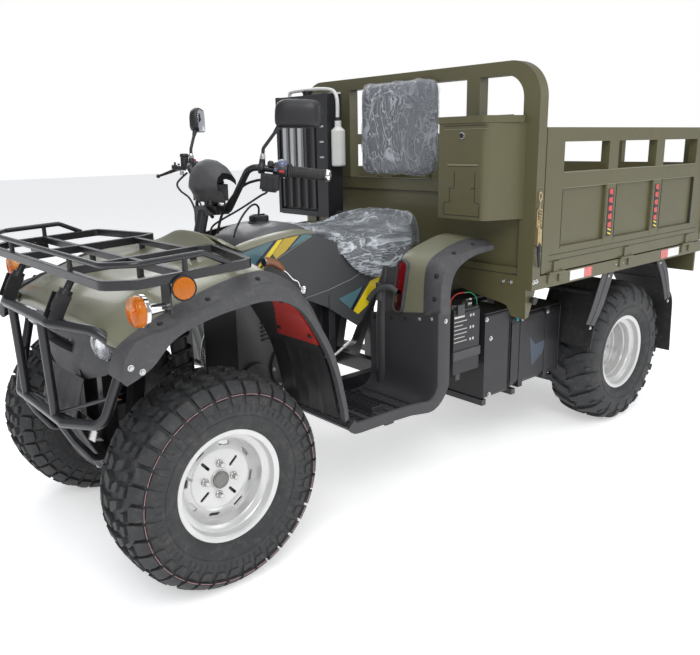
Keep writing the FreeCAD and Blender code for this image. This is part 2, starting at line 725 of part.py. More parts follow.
def make_tank_cover():
    base = v.upper_rail_top + v.running_gap
    cap_z = v.tank_top
    tank = plate("tank_cover", "XZ",
                 [[(ahead(-356), base), (ahead(-352), 950, 30), (ahead(-400), 985, 40),
                   (ahead(-450), cap_z, 80), (ahead(-530), cap_z, 80), (ahead(-635), 990, 40),
                   (ahead(-648), 930, 20), (ahead(-648), base)]], -v.tank_half, "2 * tank_half")
    node(tank, "tank_cover")
    inner = v.rail_half + v.rail_width + v.running_gap
    side = plate("side_cover", "XZ",
                 [[(ahead(-226), 880, 16), (ahead(-262), 938, 16), (ahead(-390), 972, 40),
                   (ahead(-600), 965, 60), (ahead(-905), 850, 20), (ahead(-770), 705, 20),
                   (ahead(-540), 742, 40)]], inner, "14")
    node(pair("side_covers", side), "side_covers")
    cap = turned("fuel_cap", [(0, 0), (0, 34), (18, 34, 4), (24, 26, 4), (24, 0)],
                 (ahead(-490), 0, cap_z + v.running_gap), (0, 0, 1))
    node(cap, "fuel_cap")


# The saddle by place from the front axle: half width between the side covers, height of the
# ledge over them, lower edge of the skirt, half width outside and top.
SADDLE = [(-652, 148, 948, 947, 172, 968), (-690, 190, 934, 933, 222, 970),
          (-720, 190, 923, 850, 222, 966), (-760, 190, 908, 812, 222, 960),
          (-824, 190, 884, 778, 222, 956), (-900, 190, 869, 775, 222, 960),
          (-1000, 190, 869, 800, 222, 984), (-1050, 190, 869, 846, 222, 996),
          (-1062, 190, 869, 867, 216, 998), (-1086, 140, 869, 867, 165, 1001),
          (-1135, 140, 869, 867, 165, 1000), (-1160, 136, 869, 867, 160, 980),
          (-1172, 128, 869, 867, 152, 945)]


def make_seat():
    """Saddle over the upper rails, its skirts hanging outside the side covers."""
    base, ledge = v.upper_rail_top + v.running_gap, 14 + 2 * v.running_gap
    sections = []
    for x, inner, over, low, half, top in SADDLE:
        tall = top - low
        side = [(inner, base), (inner, over), (inner + ledge, over), (inner + ledge, low),
                (half - 6, low), (half, low + tall * 0.12), (half, low + tall * 0.6),
                (half - 14, low + tall * 0.85), (half * 0.7, low + tall * 0.97)]
        ring = side + [(0, top)] + [(-y, z) for y, z in reversed(side)]
        sections.append([(ahead(x), y, z) for y, z in ring])
    node(lofted("seat", sections), "seat")


def make_radiator():
    """Cooler on a stand over the right upper rail, with its bottle beside it."""
    x, inner, outer, base = ahead(-1130), -290, -655, 960
    core = block("radiator_core", (x, outer, base), "60", f"{inner - outer}", "520")
    fins = [block(f"radiator_bar{i}", (x + 58, outer + 25 + i * 58, base + 30), "16", "14", "440")
            for i in range(6)]
    foot_z = v.upper_rail_top + v.running_gap
    side = v.rail_half + v.rail_width
    foot = block("radiator_foot", (x + 18, -side, foot_z), "24", "rail_width - 22", "30")
    arm = block("radiator_arm", (x + 19, inner - 20, base + 4), "22", f"{20 - inner - side + 3}",
                "22")
    leg = rod("radiator_leg", (x + 30, -side + 2, base + 15), (x + 30, -side + 9, foot_z + 20), "9")
    node(union("radiator", [core, foot, arm, leg] + fins), "radiator")
    radius = 30
    bottle = turned("coolant_bottle", [(0, 0), (0, radius, 8), (150, radius, 8), (165, 14),
                                       (190, 14), (190, 0)],
                    (x + 40, inner + radius + v.running_gap, 1180), (0, 0, 1))
    node(bottle, "coolant_bottle")


def make_side_boxes():
    """Battery and black case beside the frame, and the tank on its two bars."""
    inner = v.rail_half + v.rail_width
    shelf = v.shelf_top + v.running_gap
    battery = block("battery_case", (ahead(-1150), inner + 140, v.cradle_base + v.rail_height
                                     + 22 + v.running_gap), "150", "160", "235")
    case = plate("black_case", "YZ", [[(inner + 125, shelf, 15), (v.foot_half, shelf, 15),
                                       (v.foot_half, 630, 15), (inner + 125, 630, 15)]],
                 ahead(-1332), "160")
    node(group("side_boxes", [battery, case]), "side_boxes")
    tank = plate("fuel_tank_shell", "YZ",
                 [[(inner + 110, shelf, 40), (v.foot_half, shelf, 40), (v.foot_half, 596, 40),
                   (inner + 110, 596, 40)]], ahead(-1680), "336")
    node(tank, "fuel_tank")


def make_front_suspension():
    """Upper and lower wishbones with an eye round each kingpin, and a shock absorber."""
    axle, pin, arm = v.front_axle, v.kingpin_half, 11
    hinge_y = v.rail_half + v.rail_width + v.running_gap + arm + 3
    arms, eyes = [], []
    for name, z_in, z_out, spread_x in (("lower", 370, 232, 110), ("upper", 520, 418, 90)):
        for side in (-1, 1):
            arms.append(rod(f"arm_{name}{side + 1}", (axle + side * spread_x, hinge_y, z_in),
                            (axle, pin - 18, z_out), f"{arm}"))
        arms.append(rod(f"arm_{name}_bush", (axle - spread_x - 15, hinge_y, z_in),
                        (axle + spread_x + 15, hinge_y, z_in), f"{arm + 3}"))
        arms.append(rod(f"arm_{name}_eye", (axle, pin, z_out - 13), (axle, pin, z_out + 13), "22"))
        eyes.append(rod(f"arm_{name}_bore", (axle, pin, z_out - 60), (axle, pin, z_out + 60),
                        f"kingpin_radius + {v.running_gap}"))
    top = v.upper_rail_top - v.upper_rail_height - v.running_gap
    foot, head = Vec(axle - 32, 285, 290), Vec(axle - 32, 176, top)
    shock = rod("shock_body", foot + (head - foot) * 0.2, head - (head - foot) * 0.12, "27")
    shock_rod = rod("shock_rod", foot, head - (head - foot) * 0.02, "14")
    cap = rod("shock_cap", (head.x, head.y, top - 24), (head.x, head.y, top), "16")
    left = cut("suspension_left", union("suspension_arms", arms + [shock, shock_rod, cap]),
               union("suspension_bores", eyes))
    return node(pair("front_suspension", left), "front_suspension")


def make_rear_axle():
    """Rigid axle with its drive housing, on two leaf springs."""
    x, z = v.rear_axle, v.tyre_radius
    hub = v.rear_track_half + v.rear_disc - v.running_gap
    half = [(hub, 90), (hub - 14, 90), (hub - 14, 34), (110, 34), (80, 110, 30)]
    outline = [(-hub, 0)] + [(-y, r, *c) for y, r, *c in half]
    outline += [tuple(p) for p in reversed(half)] + [(hub, 0)]
    node(turned("axle_shaft", outline, (x, 0, z), (0, 1, 0)), "rear_axle")
    rise = v.rear_rail_base - v.running_gap
    line = [(x - 282, rise - 14, 0), (x - 150, 432, 60), (x + 150, 432, 60),
            (x + 282, rise - 14, 0)]
    pack = plate("leaf_pack", "XZ", [arch_strip(line, 16)], v.rail_half + v.rail_width + 4,
                 "56")
    clamp = block("leaf_clamp", (x - 40, v.rail_half + v.rail_width + 4, z + 34.3), "80", "56",
                  f"{434 - z - 34.3}")
    hangers = [block(f"leaf_hanger{i}", (x + dx, v.rail_half + v.rail_width + 4, rise - 40), "36",
                     "56", "40") for i, dx in enumerate((-300, 264))]
    node(pair("leaf_springs", union("leaf_left", [pack, clamp] + hangers)), "leaf_springs")


def make_rear_mudguards():
    """Rubber guards ahead of and behind each rear wheel, on stays from the outriggers."""
    x = v.rear_axle
    lines = (("guard_front", [(x + 352, 420, 0), (x + 328, 520, 90), (x + 245, 704, 0)], 274),
             ("guard_rear", [(x - 190, 720, 0), (x - 370, 530, 110), (x - 388, 262, 0)], -268))
    guards = []
    for name, line, dx in lines:
        flap = plate(name, "XZ", [arch_strip(line, 6)], 380, "262")
        reach = v.rear_rail_half + 20 + v.running_gap
        stay = rod(name + "_stay", (x + dx, reach, 640), (x + dx, 600, 640), "10")
        guards.append(union(name + "_set", [flap, stay]))
    node(group("rear_mudguards", both("rear_mudguards", guards)), "rear_mudguards")


def hinge(name, at, along, outward, low, high):
    """One drop hinge: two outer barrels with a leaf down on the rail, and one between them with
    a leaf up on the gate. along is the pin's direction and outward points off the rail."""
    radius, reach = v.hinge_barrel, v.hinge_length / 2
    along, outward, at = Vec(*along), Vec(*outward), Vec(*at)
    gap = v.running_gap
    turn = FreeCAD.Rotation(along, outward, Vec(0, 0, 1), "XYZ")

    def barrel(label, start, end):
        return rod(label, at + along * start, at + along * end, "hinge_barrel")

    def leaf(label, start, end, z_low, z_high):
        wide = Part.makeBox(end - start, radius, z_high - z_low,
                            Vec(start, -radius, z_low - at.z))
        piece = doc.addObject("Part::Feature", label)
        piece.Shape = wide
        piece.Placement = FreeCAD.Placement(at, turn)
        return piece

    third = reach * 0.4
    fixed = [barrel(name + "_a", -reach, -third), barrel(name + "_b", third, reach),
             leaf(name + "_leaf_a", -reach, -third, low, at.z),
             leaf(name + "_leaf_b", third, reach, low, at.z)]
    moving = [barrel(name + "_c", -third + gap, third - gap),
              leaf(name + "_leaf_c", -third + gap, third - gap, at.z, high)]
    return fixed, moving


def make_bed_floor():
    """Floor plate in its fixed rails, with the channels that lie on the frame."""
    base, half, rail = v.bed_base, v.bed_half, v.bed_rail_width
    rear = v.tail_face
    floor = block("bed_plate", (rear + rail, -half + rail, v.rail_top - v.floor_thick),
                  "bed_length - 2 * bed_rail_width", "2 * (bed_half - bed_rail_width)",
                  "floor_thick")
    sheet_metal = block("bed_sheet", (rear + rail, -half + rail, v.rail_top),
                        "bed_length - bed_rail_width - hoop_tube - 4",
                        "2 * (bed_half - bed_rail_width)", "floor_step")
    side = block("bed_side_rail", (rear, half - rail, base), "bed_length", "bed_rail_width",
                 "bed_rail_height")
    channel_base = v.rear_rail_base + v.rail_height + v.running_gap
    channel_end = v.tip_x + 25
    channel = block("bed_channel", (channel_end, v.rail_half, channel_base),
                    f"{v.bed_front - 20 - channel_end}", "channel_width",
                    f"bed_base - {channel_base}")
    pieces = [floor, sheet_metal] + both("bed_floor", [side, channel])
    for i in range(5):
        x = rear + i * (v.bed_length - rail) / 4
        tall = "bed_rail_height" if i in (0, 4) else "bed_rail_height - floor_thick"
        pieces.append(block(f"bed_cross{i}", (x, -half + rail, base), "bed_rail_width",
                            "2 * (bed_half - bed_rail_width)", tall))
    # ears that hang from the channels and turn on the frame's hinge pin
    inner = v.rail_half + v.rail_width + 6
    ear = plate("bed_ear", "XZ",
                [[(v.tip_x - 24, v.tip_z - 24, 22), (v.tip_x + 24, v.tip_z - 24, 22),
                  (v.tip_x + 75, channel_base + 20), (v.tip_x + 12, channel_base + 20)]],
                inner, "12")
    bore = rod("bed_ear_bore", (v.tip_x, inner - 20, v.tip_z), (v.tip_x, inner + 40, v.tip_z),
               "hinge_pin_radius + 0.1")
    pieces += both("ears", [cut("bed_ear_cut", ear, bore)])
    fixed = [part for pieces_of in HINGES for part in pieces_of[0]]
    return node(union("bed_floor", pieces + fixed), "bed_floor")


def make_headboard():
    """Hoop of square tube with a solid lower panel and two inner uprights."""
    half, tube_width, top = v.bed_half, v.hoop_tube, v.hoop_top
    base = v.bed_base + v.bed_rail_height
    low, high = v.hoop_mid_rail_low, v.hoop_mid_rail_high
    inner, inner_half = v.hoop_inner, v.hoop_inner_width / 2
    bend = v.hoop_bend
    post = 69
    outline = [(-half, base), (-half, top, bend), (half, top, bend), (half, base)]
    windows = []
    for left, right, radius in ((-half + post, -inner - inner_half, 1),
                                (-inner + inner_half, inner - inner_half, 0),
                                (inner + inner_half, half - post, 2)):
        left_top = (left, top - tube_width, bend - tube_width) if radius == 1 else \
            (left, top - tube_width)
        right_top = (right, top - tube_width, bend - tube_width) if radius == 2 else \
            (right, top - tube_width)
        windows.append([(left, high), left_top, right_top, (right, high)])
    panel = [(-half + post, base + 30), (-half + post, low), (half - post, low),
             (half - post, base + 30)]
    hoop = plate("headboard_hoop", "YZ", [outline] + windows + [panel],
                 v.bed_front - tube_width, "hoop_tube")
    sheet_panel = block("headboard_panel",
                        (v.bed_front - tube_width / 2, -half + post - 2, base),
                        "panel_thick", "2 * bed_half - 134", "hoop_mid_rail_low - bed_base - 40")
    return node(union("headboard", [hoop, sheet_panel]), "headboard")


def gate(name, span, at, upright):
    """A drop side: bottom board, recessed panels, mid rail, windows and top rail. span is its
    length, at places its lower front corner and upright turns it about Z."""
    height = v.bed_top - v.gate_low
    stile, post = v.gate_stile, v.gate_post
    low, high, window = v.gate_mid_rail_low, v.gate_mid_rail_high, v.gate_window_high
    bays = 3
    clear = (span - 2 * stile - (bays - 1) * post) / bays
    loops = [[(0, 0), (0, height), (span, height), (span, 0)]]
    for i in range(bays):
        x = stile + i * (clear + post)
        loops.append([(x, high), (x, window), (x + clear, window), (x + clear, high)])
        loops.append([(x, v.gate_bottom_board), (x, low), (x + clear, low),
                      (x + clear, v.gate_bottom_board)])
    frame = plate(name + "_frame", "XZ", loops, 0, "gate_thick")
    panel = block(name + "_panel", (stile - 2, 11, v.gate_bottom_board - 2),
                  f"{span - 2 * stile + 4}", "panel_thick", f"{low - v.gate_bottom_board + 4}")
    whole = union(name, [frame, panel])
    whole.Placement = FreeCAD.Placement(Vec(*at), FreeCAD.Rotation(Vec(0, 0, 1), upright))
    return whole


HINGES = []


def hung_gate(label, panel, places, along, outward):
    """Give a gate its hinges and remember the halves that stay on the rail."""
    moving = []
    for i, at in enumerate(places):
        halves = hinge(f"{label}_hinge{i}", at, along, outward, v.rail_top - 34, v.gate_low + 40)
        HINGES.append(halves)
        moving += halves[1]
    node(union(label, [panel] + moving), label)


def make_gates():
    gap, thick = v.gate_gap, v.gate_thick
    front = v.bed_front - v.hoop_tube - gap
    back = v.tail_face + thick + gap
    span = front - back
    pin_z = v.rail_top + gap / 2
    places = [v.bed_front - 146, v.bed_front - 0.476 * v.bed_length, v.tail_face + 170]
    for label, side in (("gate_left", 1), ("gate_right", -1)):
        corner = (front if side > 0 else back, side * v.bed_half, v.gate_low)
        panel = gate(label + "_panel", span, corner, 180 if side > 0 else 0)
        pins = [(x, side * (v.bed_half + v.hinge_barrel), pin_z) for x in places]
        hung_gate(label, panel, pins, (side, 0, 0), (0, side, 0))
    panel = gate("tailgate_panel", 2 * v.bed_half, (v.tail_face, v.bed_half, v.gate_low), -90)
    pins = [(v.tail_face - v.hinge_barrel, y, pin_z) for y in (-470, 0, 470)]
    hung_gate("tailgate", panel, pins, (0, 1, 0), (-1, 0, 0))


def make_toolbox():
    """Locker on the headboard's left with a lid that turns up about its rear edge."""
    x, low, high = v.bed_front, 1000, 1338
    depth, lid_thick = 160, 24
    near, far = v.bed_half - 326, v.bed_half - 52
    pin_x, pin_z = x + 8, high + lid_thick

    def outline(start, grow):
        return [(start, near - grow), (x + depth + grow, near - grow, 10),
                (x + depth + grow, far - 54, 30), (start, far + grow)]

    box = plate("toolbox_case", "XY", [outline(x, 0)], low, f"{high - low}")
    posts = []
    for i, y in enumerate((near + 22, near + 160)):
        posts.append(block(f"toolbox_leaf{i}", (x, y, high - 20), "4", "60",
                           f"{pin_z - high + 20}"))
        posts.append(rod(f"toolbox_barrel{i}", (pin_x, y, pin_z), (pin_x, y + 60, pin_z), "5"))
    node(union("toolbox", [box] + posts), "toolbox")
    cover = plate("toolbox_cover", "XY", [outline(x + 15, 3)], high + v.running_gap,
                  f"{lid_thick}")
    barrel = rod("lid_barrel", (pin_x, near + 88, pin_z), (pin_x, near + 154, pin_z), "5")
    tongue = block("lid_tongue", (pin_x, near + 88, pin_z - 5), "20", "66", "5")
    node(union("toolbox_lid", [cover, tongue, barrel]), "toolbox_lid")


def make_back_pad():
    """Cushion on the headboard, and the board under the bed's rear with its notch for the
    tow plate."""
    pad = plate("back_pad", "YZ",
                [[(-218, 1140, 40), (-218, 1522, 40), (212, 1522, 40), (212, 1140, 40)]],
                v.bed_front + v.running_gap, "50")
    node(pad, "back_pad")
    x, low = v.frame_end - 32, v.bed_base - v.tail_board_drop
    board = block("tail_board_sheet", (x, -v.bed_half, low), "tail_board_thick",
                  "2 * bed_half", "tail_board_drop")
    notch = block("tail_board_notch", (x - 5, -60, low - 1), "tail_board_thick + 10", "120", "46")
    node(cut("tail_board", board, notch), "tail_board")


def steer_point(along):
    """A point on the steering axis, along it from its foot."""
    foot = Vec(ahead(-215), 0, v.upper_rail_top + 14)
    return foot + Vec(-0.27, 0, 0.963).normalize() * along


# The instrument pod's side view at its middle, towards each side and at its sides.
POD_MIDDLE = [(-240, 1095), (-228, 1130), (-238, 1180), (-262, 1218), (-292, 1232), (-325, 1222),
              (-352, 1165), (-350, 1145), (-300, 1125)]
POD_FLANK = [(-250, 1100), (-240, 1132), (-248, 1176), (-268, 1212), (-294, 1226), (-325, 1216),
             (-354, 1163), (-352, 1146), (-305, 1125)]
POD_SIDE = [(-285, 1122), (-280, 1140), (-283, 1165), (-293, 1188), (-305, 1196), (-325, 1190),
            (-350, 1162), (-349, 1148), (-315, 1132)]
# The mirror's outline seen from its glass: outward and up from its middle.
MIRROR = [(-74, -28), (-64, -43), (60, -43), (74, -30), (74, 20), (56, 38), (-34, 43), (-66, 30)]


def make_steering():
    """Column, clamp and bar with grips and switch housings, mirrors and the instrument pod."""
    column = rod("steer_column", steer_point(0), steer_point(190), "column_tube")
    clamp = block("steer_clamp", (ahead(-345), -38, 1048), "90", "76", "30")
    middle, elbow, end = (ahead(-330), 0, 1063), Vec(ahead(-330), 200, 1210), \
        Vec(ahead(-420), 289, 1193.6)
    bar = tube("steer_bar", [middle, (middle[0], 60, middle[2]), elbow, end], [30, 45], "bar_tube")
    node(union("handlebar", [column, clamp] + both("bars", [bar])), "handlebar")
    along = (end - elbow).normalize()
    grip = rod("grip", end, end + along * 135, "grip_radius")
    bore = v.bar_tube + v.running_gap
    housing = turned("grip_housing", [(0, bore), (0, 24, 4), (52, 24, 4), (52, bore)],
                     end - along * 50, along)
    node(pair("grips", union("grip_left", [grip, housing])), "grips")
    ring = elbow + along * 31
    clasp = turned("mirror_clasp", [(0, bore), (0, 19, 3), (18, 19, 3), (18, bore)], ring, along)
    lift = (Vec(0, 0, 1) - along * along.z).normalize()
    base, centre = ring + along * 9 + lift * 15, Vec(ahead(-450), 310, 1370)
    swing = math.radians(40)
    back, across = Vec(math.cos(swing), math.sin(swing), 0), Vec(-math.sin(swing),
                                                                 math.cos(swing), 0)
    arm = tube("mirror_arm", [base, base + lift * 46, centre - across * 58 - Vec(0, 0, 34)
                              + back * 6], [14], "5.5")
    sections = []
    for depth, share in ((-8, 0.95), (0, 1), (14, 0.95), (28, 0.62)):
        sections.append([centre + across * u * share + Vec(0, 0, w * share) + back * depth
                         for u, w in MIRROR])
    shell = lofted("mirror_shell", sections)
    node(pair("mirrors", union("mirror_left", [clasp, arm, shell])), "mirrors")
    rings = [(-85, POD_SIDE), (-60, POD_FLANK), (0, POD_MIDDLE), (60, POD_FLANK), (85, POD_SIDE)]
    dome = lofted("pod_dome", [[(ahead(x), y, z) for x, z in line] for y, line in rings])
    foot = block("pod_foot", (ahead(-300), -15, 1078), "30", "30", "50")
    node(union("instrument_pod", [dome, foot]), "instrument_pod")


def make_knuckles():
    """Upright post, brake drum and stub inside each front wheel."""
    axle, z = v.front_axle, v.tyre_radius
    post = rod("knuckle_post", (axle, v.kingpin_half, 205), (axle, v.kingpin_half, 445),
               "kingpin_radius")
    face = v.front_track_half + v.front_disc - v.kingpin_half - v.running_gap
    drum = turned("knuckle_drum", [(-12, 0), (-12, 40), (18, 60), (26, 92, 6), (face, 92, 4),
                                   (face, 0)], (axle, v.kingpin_half, z), (0, 1, 0))
    left = union("knuckle_left", [post, drum])
    node(left, "knuckle_left")
    node(mirrored(left, "knuckle_right"), "knuckle_right")


def make_tyre(name, at, rows):
    """Carcass revolved about the axle with lugs in rows around it. A row holds its outline
    across the tread, its length around the tyre and its share of a pitch ahead of the others."""
    radius, depth, wide = v.tyre_radius, v.tread_depth, v.tyre_width / 2
    crown, seat, bead = radius - depth, v.rim_radius + v.running_gap, v.rim_half
    lip = v.rim_radius + v.rim_flange + v.running_gap
    half = [(bead, seat), (bead, lip), (bead + 12, lip + 1), (wide, lip + 42, 20),
            (wide, crown - 50, 30), (wide * 0.80, crown, 14)]
    outline = [(-y, r, *c) for y, r, *c in half] + list(reversed(half))
    carcass = turned(name, outline, at, (0, 1, 0))
    lugs = []
    for i, (outline, around, lead) in enumerate(rows):
        sketch = carcass.newObject("Sketcher::SketchObject", f"{name}_lug{i}")
        support = [f for f in carcass.Origin.OriginFeatures if f.Role == "XZ_Plane"][0]
        sketch.AttachmentSupport = [(support, "")]
        sketch.MapMode = "FlatFace"
        swing = FreeCAD.Rotation(Vec(1, 0, 0), 360 / v.lug_count * lead)
        sketch.AttachmentOffset = FreeCAD.Placement(Vec(0, 0, 0), swing)
        sketch.addGeometry(rounded_loop(outline), False)
        lug = carcass.newObject("PartDesign::Pad", f"{name}_lug{i}_pad")
        lug.Profile = sketch
        lug.Length = around
        lug.SideType = "Symmetric"
        lugs.append(lug)
    ring = carcass.newObject("PartDesign::PolarPattern", name + "_ring")
    ring.Originals = lugs
    ring.Axis = ([f for f in carcass.Origin.OriginFeatures if f.Role == "X_Axis"][0], [""])
    ring.Angle = 360
    bind(ring, "Occurrences", "lug_count")
    carcass.Tip = ring
    return carcass


def knobbly_rows():
    """Centre blocks and shoulder blocks that wrap round to the sidewall."""
    radius, depth, wide = v.tyre_radius, v.tread_depth, v.tyre_width / 2
    crown = radius - depth
    seat = crown - 12
    rows = [([(-0.42 * wide, seat), (-0.42 * wide, radius), (0.06 * wide, radius),
              (0.06 * wide, seat)], 46, 0)]
    for side in (-1, 1):
        rows.append(([(side * 0.5 * wide, seat), (side * 0.5 * wide, radius - 2),
                      (side * 0.86 * wide, radius - 10), (side * wide, crown - 40),
                      (side * wide * 0.94, crown - 46)][::-side], 52, 0.25 * side))
    return rows


def make_rim(name, at, disc):
    """Stepped drop-centre rim. disc is how far outboard of the middle its disc stands."""
    r, lip, wall, bead = v.rim_radius, v.rim_flange, v.rim_wall, v.rim_half
    drop, edge = r - 22, bead + v.running_gap
    profile = [(-edge, r), (-edge, r + lip), (-edge - 5, r + lip), (-edge - 5, r - wall, 4),
               (-bead * 0.69, r - wall, 2), (-bead * 0.59, drop - wall, 10),
               (disc - 6, drop - wall, 6), (disc, v.rim_hub + 34, 10), (disc, v.rim_hub, 4),
               (disc + 14, v.rim_hub - 8, 4), (disc + 14, 0), (disc + 20, 0),
               (disc + 20, v.rim_hub - 4, 6), (disc + 6, v.rim_hub + 4, 6),
               (disc + 6, v.rim_hub + 36, 8), (disc + 2, drop - wall, 6),
               (bead * 0.59, drop - wall, 10), (bead * 0.69, r - wall, 2), (edge + 5, r - wall, 4),
               (edge + 5, r + lip), (edge, r + lip), (edge, r), (bead * 0.66, r, 6),
               (bead * 0.56, drop, 6), (-bead * 0.56, drop, 6), (-bead * 0.66, r, 6)]
    return turned(name, profile, at, (0, 1, 0))


def make_wheels():
    for end, x, half, disc in (("front", v.front_axle, v.front_track_half, v.front_disc),
                               ("rear", v.rear_axle, v.rear_track_half, v.rear_disc)):
        at = (x, half, v.tyre_radius)
        tyre = make_tyre(f"{end}_left_tyre", at, knobbly_rows())
        rim = make_rim(f"{end}_left_rim", at, disc)
        for piece, label in ((tyre, "tyre"), (rim, "rim")):
            node(piece, f"{end}_left_{label}")
            node(mirrored(piece, f"{end}_right_{label}"), f"{end}_right_{label}")


def check_and_export():
    """Stop on any failed object, then write one STEP file per sub-part."""
    doc.recompute()
    for obj in doc.Objects:
        if "Invalid" in obj.State or "Error" in obj.State:
            raise SystemExit(f"{obj.Name} failed: {obj.State}")
    broken = [obj.Label for obj in NODES if obj.Shape.isNull() or not obj.Shape.isValid()]
    if broken:
        raise SystemExit(f"no valid shape: {broken}")
    for obj in NODES:
        obj.Shape.exportStep(os.path.join("parts", obj.Label + ".step"))
        print(obj.Label, len(obj.Shape.Solids), round(obj.Shape.Volume))


make_frame()
make_engine()
make_front_bumper()
make_front_rack()
make_front_cowl()
make_lamps()
make_front_body()
make_flares()
make_guards()
make_footwells()
make_rear_fenders()
make_tank_cover()
make_seat()
make_radiator()
make_side_boxes()
make_front_suspension()
make_rear_axle()
make_rear_mudguards()
make_steering()
make_knuckles()
make_wheels()
make_gates()
make_bed_floor()
make_headboard()
make_toolbox()
make_back_pad()
check_and_export()
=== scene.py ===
"""Looks of the quad bike with its dropside bed.

Metres, +X forward, +Y to the rider's left, +Z up."""
import json
import math

import bmesh
import bpy
import numpy as np
from mathutils import Matrix, Vector, noise

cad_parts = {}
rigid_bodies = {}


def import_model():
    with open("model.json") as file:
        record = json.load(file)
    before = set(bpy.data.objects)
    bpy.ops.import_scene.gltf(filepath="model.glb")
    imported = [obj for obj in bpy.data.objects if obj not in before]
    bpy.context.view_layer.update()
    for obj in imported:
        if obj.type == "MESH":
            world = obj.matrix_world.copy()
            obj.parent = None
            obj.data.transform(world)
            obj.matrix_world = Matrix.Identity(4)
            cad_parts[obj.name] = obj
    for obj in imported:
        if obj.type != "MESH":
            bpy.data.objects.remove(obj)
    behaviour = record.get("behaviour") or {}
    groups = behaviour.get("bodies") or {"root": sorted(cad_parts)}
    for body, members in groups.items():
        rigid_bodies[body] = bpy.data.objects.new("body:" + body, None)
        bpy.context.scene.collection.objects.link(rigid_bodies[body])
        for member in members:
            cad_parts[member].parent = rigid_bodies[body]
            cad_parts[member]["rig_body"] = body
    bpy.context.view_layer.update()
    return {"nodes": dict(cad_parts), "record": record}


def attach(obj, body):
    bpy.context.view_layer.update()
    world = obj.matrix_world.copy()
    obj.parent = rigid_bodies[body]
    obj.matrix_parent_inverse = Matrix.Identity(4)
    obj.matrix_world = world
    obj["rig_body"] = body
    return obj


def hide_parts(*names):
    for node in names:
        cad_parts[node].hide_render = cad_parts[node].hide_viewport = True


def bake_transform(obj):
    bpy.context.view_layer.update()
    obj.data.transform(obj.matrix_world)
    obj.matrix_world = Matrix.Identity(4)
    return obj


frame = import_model()
NODES = frame["nodes"]
AXLE = 1.135            # the front axle's place along the vehicle
REAR = -0.915           # the rear axle
WHEEL_RADIUS = 0.325
CROWN = 318             # radius in mm at which the tread is laid out
SIDES = (("left", 1), ("right", -1))
UP = Vector((0, 0, 1))


def at(x, y, z):
    """A point measured from the front axle."""
    return Vector((AXLE + x, y, z))


# Materials

def tree(name):
    mat = bpy.data.materials.new(name)
    mat.use_nodes = True
    nodes = mat.node_tree.nodes
    nodes.clear()
    out = nodes.new("ShaderNodeOutputMaterial")
    shader = nodes.new("ShaderNodeBsdfPrincipled")
    mat.node_tree.links.new(shader.outputs[0], out.inputs[0])
    return mat, shader


def add(mat, kind, **values):
    """A node with its settings: names starting with a capital are sockets."""
    item = mat.node_tree.nodes.new(kind)
    for key, value in values.items():
        if key[0].isupper() or key[0] == "_":
            item.inputs[key.lstrip("_").replace("_", " ")].default_value = value
        else:
            setattr(item, key, value)
    return item


def link(mat, source, target):
    mat.node_tree.links.new(source, target)


def place(mat):
    return add(mat, "ShaderNodeTexCoord").outputs["Object"]


def ramp(mat, source, low, high, dark, light):
    """Map a texture between two colours."""
    item = add(mat, "ShaderNodeValToRGB")
    item.color_ramp.elements[0].position = low
    item.color_ramp.elements[1].position = high
    item.color_ramp.elements[0].color = (*dark, 1)
    item.color_ramp.elements[1].color = (*light, 1)
    link(mat, source, item.inputs[0])
    return item.outputs[0]


def shade(colour, factor):
    return tuple(min(1, c * factor) for c in colour)


def finish(name, colour, rough=0.5, metal=0.0, mottle=0.06, mottle_scale=7.0, grain=0.0,
           grain_scale=600.0, coat=0.0, soft=0.0015, dust=0.0, specular=0.5):
    """Painted, moulded or cast surface: slow colour drift, fine grain and worn roughness."""
    mat, shader = tree(name)
    where = place(mat)
    drift = add(mat, "ShaderNodeTexNoise", Scale=mottle_scale, Detail=5.0, Roughness=0.6)
    link(mat, where, drift.inputs["Vector"])
    tint = ramp(mat, drift.outputs[0], 0.3, 0.7, shade(colour, 1 - mottle),
                shade(colour, 1 + mottle))
    if dust:
        speck = add(mat, "ShaderNodeTexNoise", Scale=38.0, Detail=8.0, Roughness=0.75)
        link(mat, where, speck.inputs["Vector"])
        mask = ramp(mat, speck.outputs[0], 0.5, 0.75, (0, 0, 0), (dust, dust, dust))
        mix = add(mat, "ShaderNodeMix", data_type="RGBA")
        link(mat, mask, mix.inputs[0])
        link(mat, tint, mix.inputs[6])
        mix.inputs[7].default_value = (0.42, 0.38, 0.31, 1)
        tint = mix.outputs[2]
    link(mat, tint, shader.inputs["Base Color"])
    polish = add(mat, "ShaderNodeMapRange", To_Min=rough * 0.85, To_Max=min(1, rough * 1.2))
    smear = add(mat, "ShaderNodeTexNoise", Scale=16.0, Detail=6.0)
    link(mat, where, smear.inputs["Vector"])
    link(mat, smear.outputs[0], polish.inputs["Value"])
    link(mat, polish.outputs[0], shader.inputs["Roughness"])
    shader.inputs["Metallic"].default_value = metal
    shader.inputs["Coat Weight"].default_value = coat
    shader.inputs["Coat Roughness"].default_value = 0.12
    shader.inputs["Specular IOR Level"].default_value = specular
    edge = add(mat, "ShaderNodeBevel", samples=4)
    edge.inputs["Radius"].default_value = soft
    if grain:
        texture = add(mat, "ShaderNodeTexNoise", Scale=grain_scale, Detail=2.0)
        link(mat, where, texture.inputs["Vector"])
        bump = add(mat, "ShaderNodeBump", Strength=grain, Distance=0.0006)
        link(mat, texture.outputs[0], bump.inputs["Height"])
        link(mat, edge.outputs[0], bump.inputs["Normal"])
        link(mat, bump.outputs[0], shader.inputs["Normal"])
    else:
        link(mat, edge.outputs[0], shader.inputs["Normal"])
    return mat


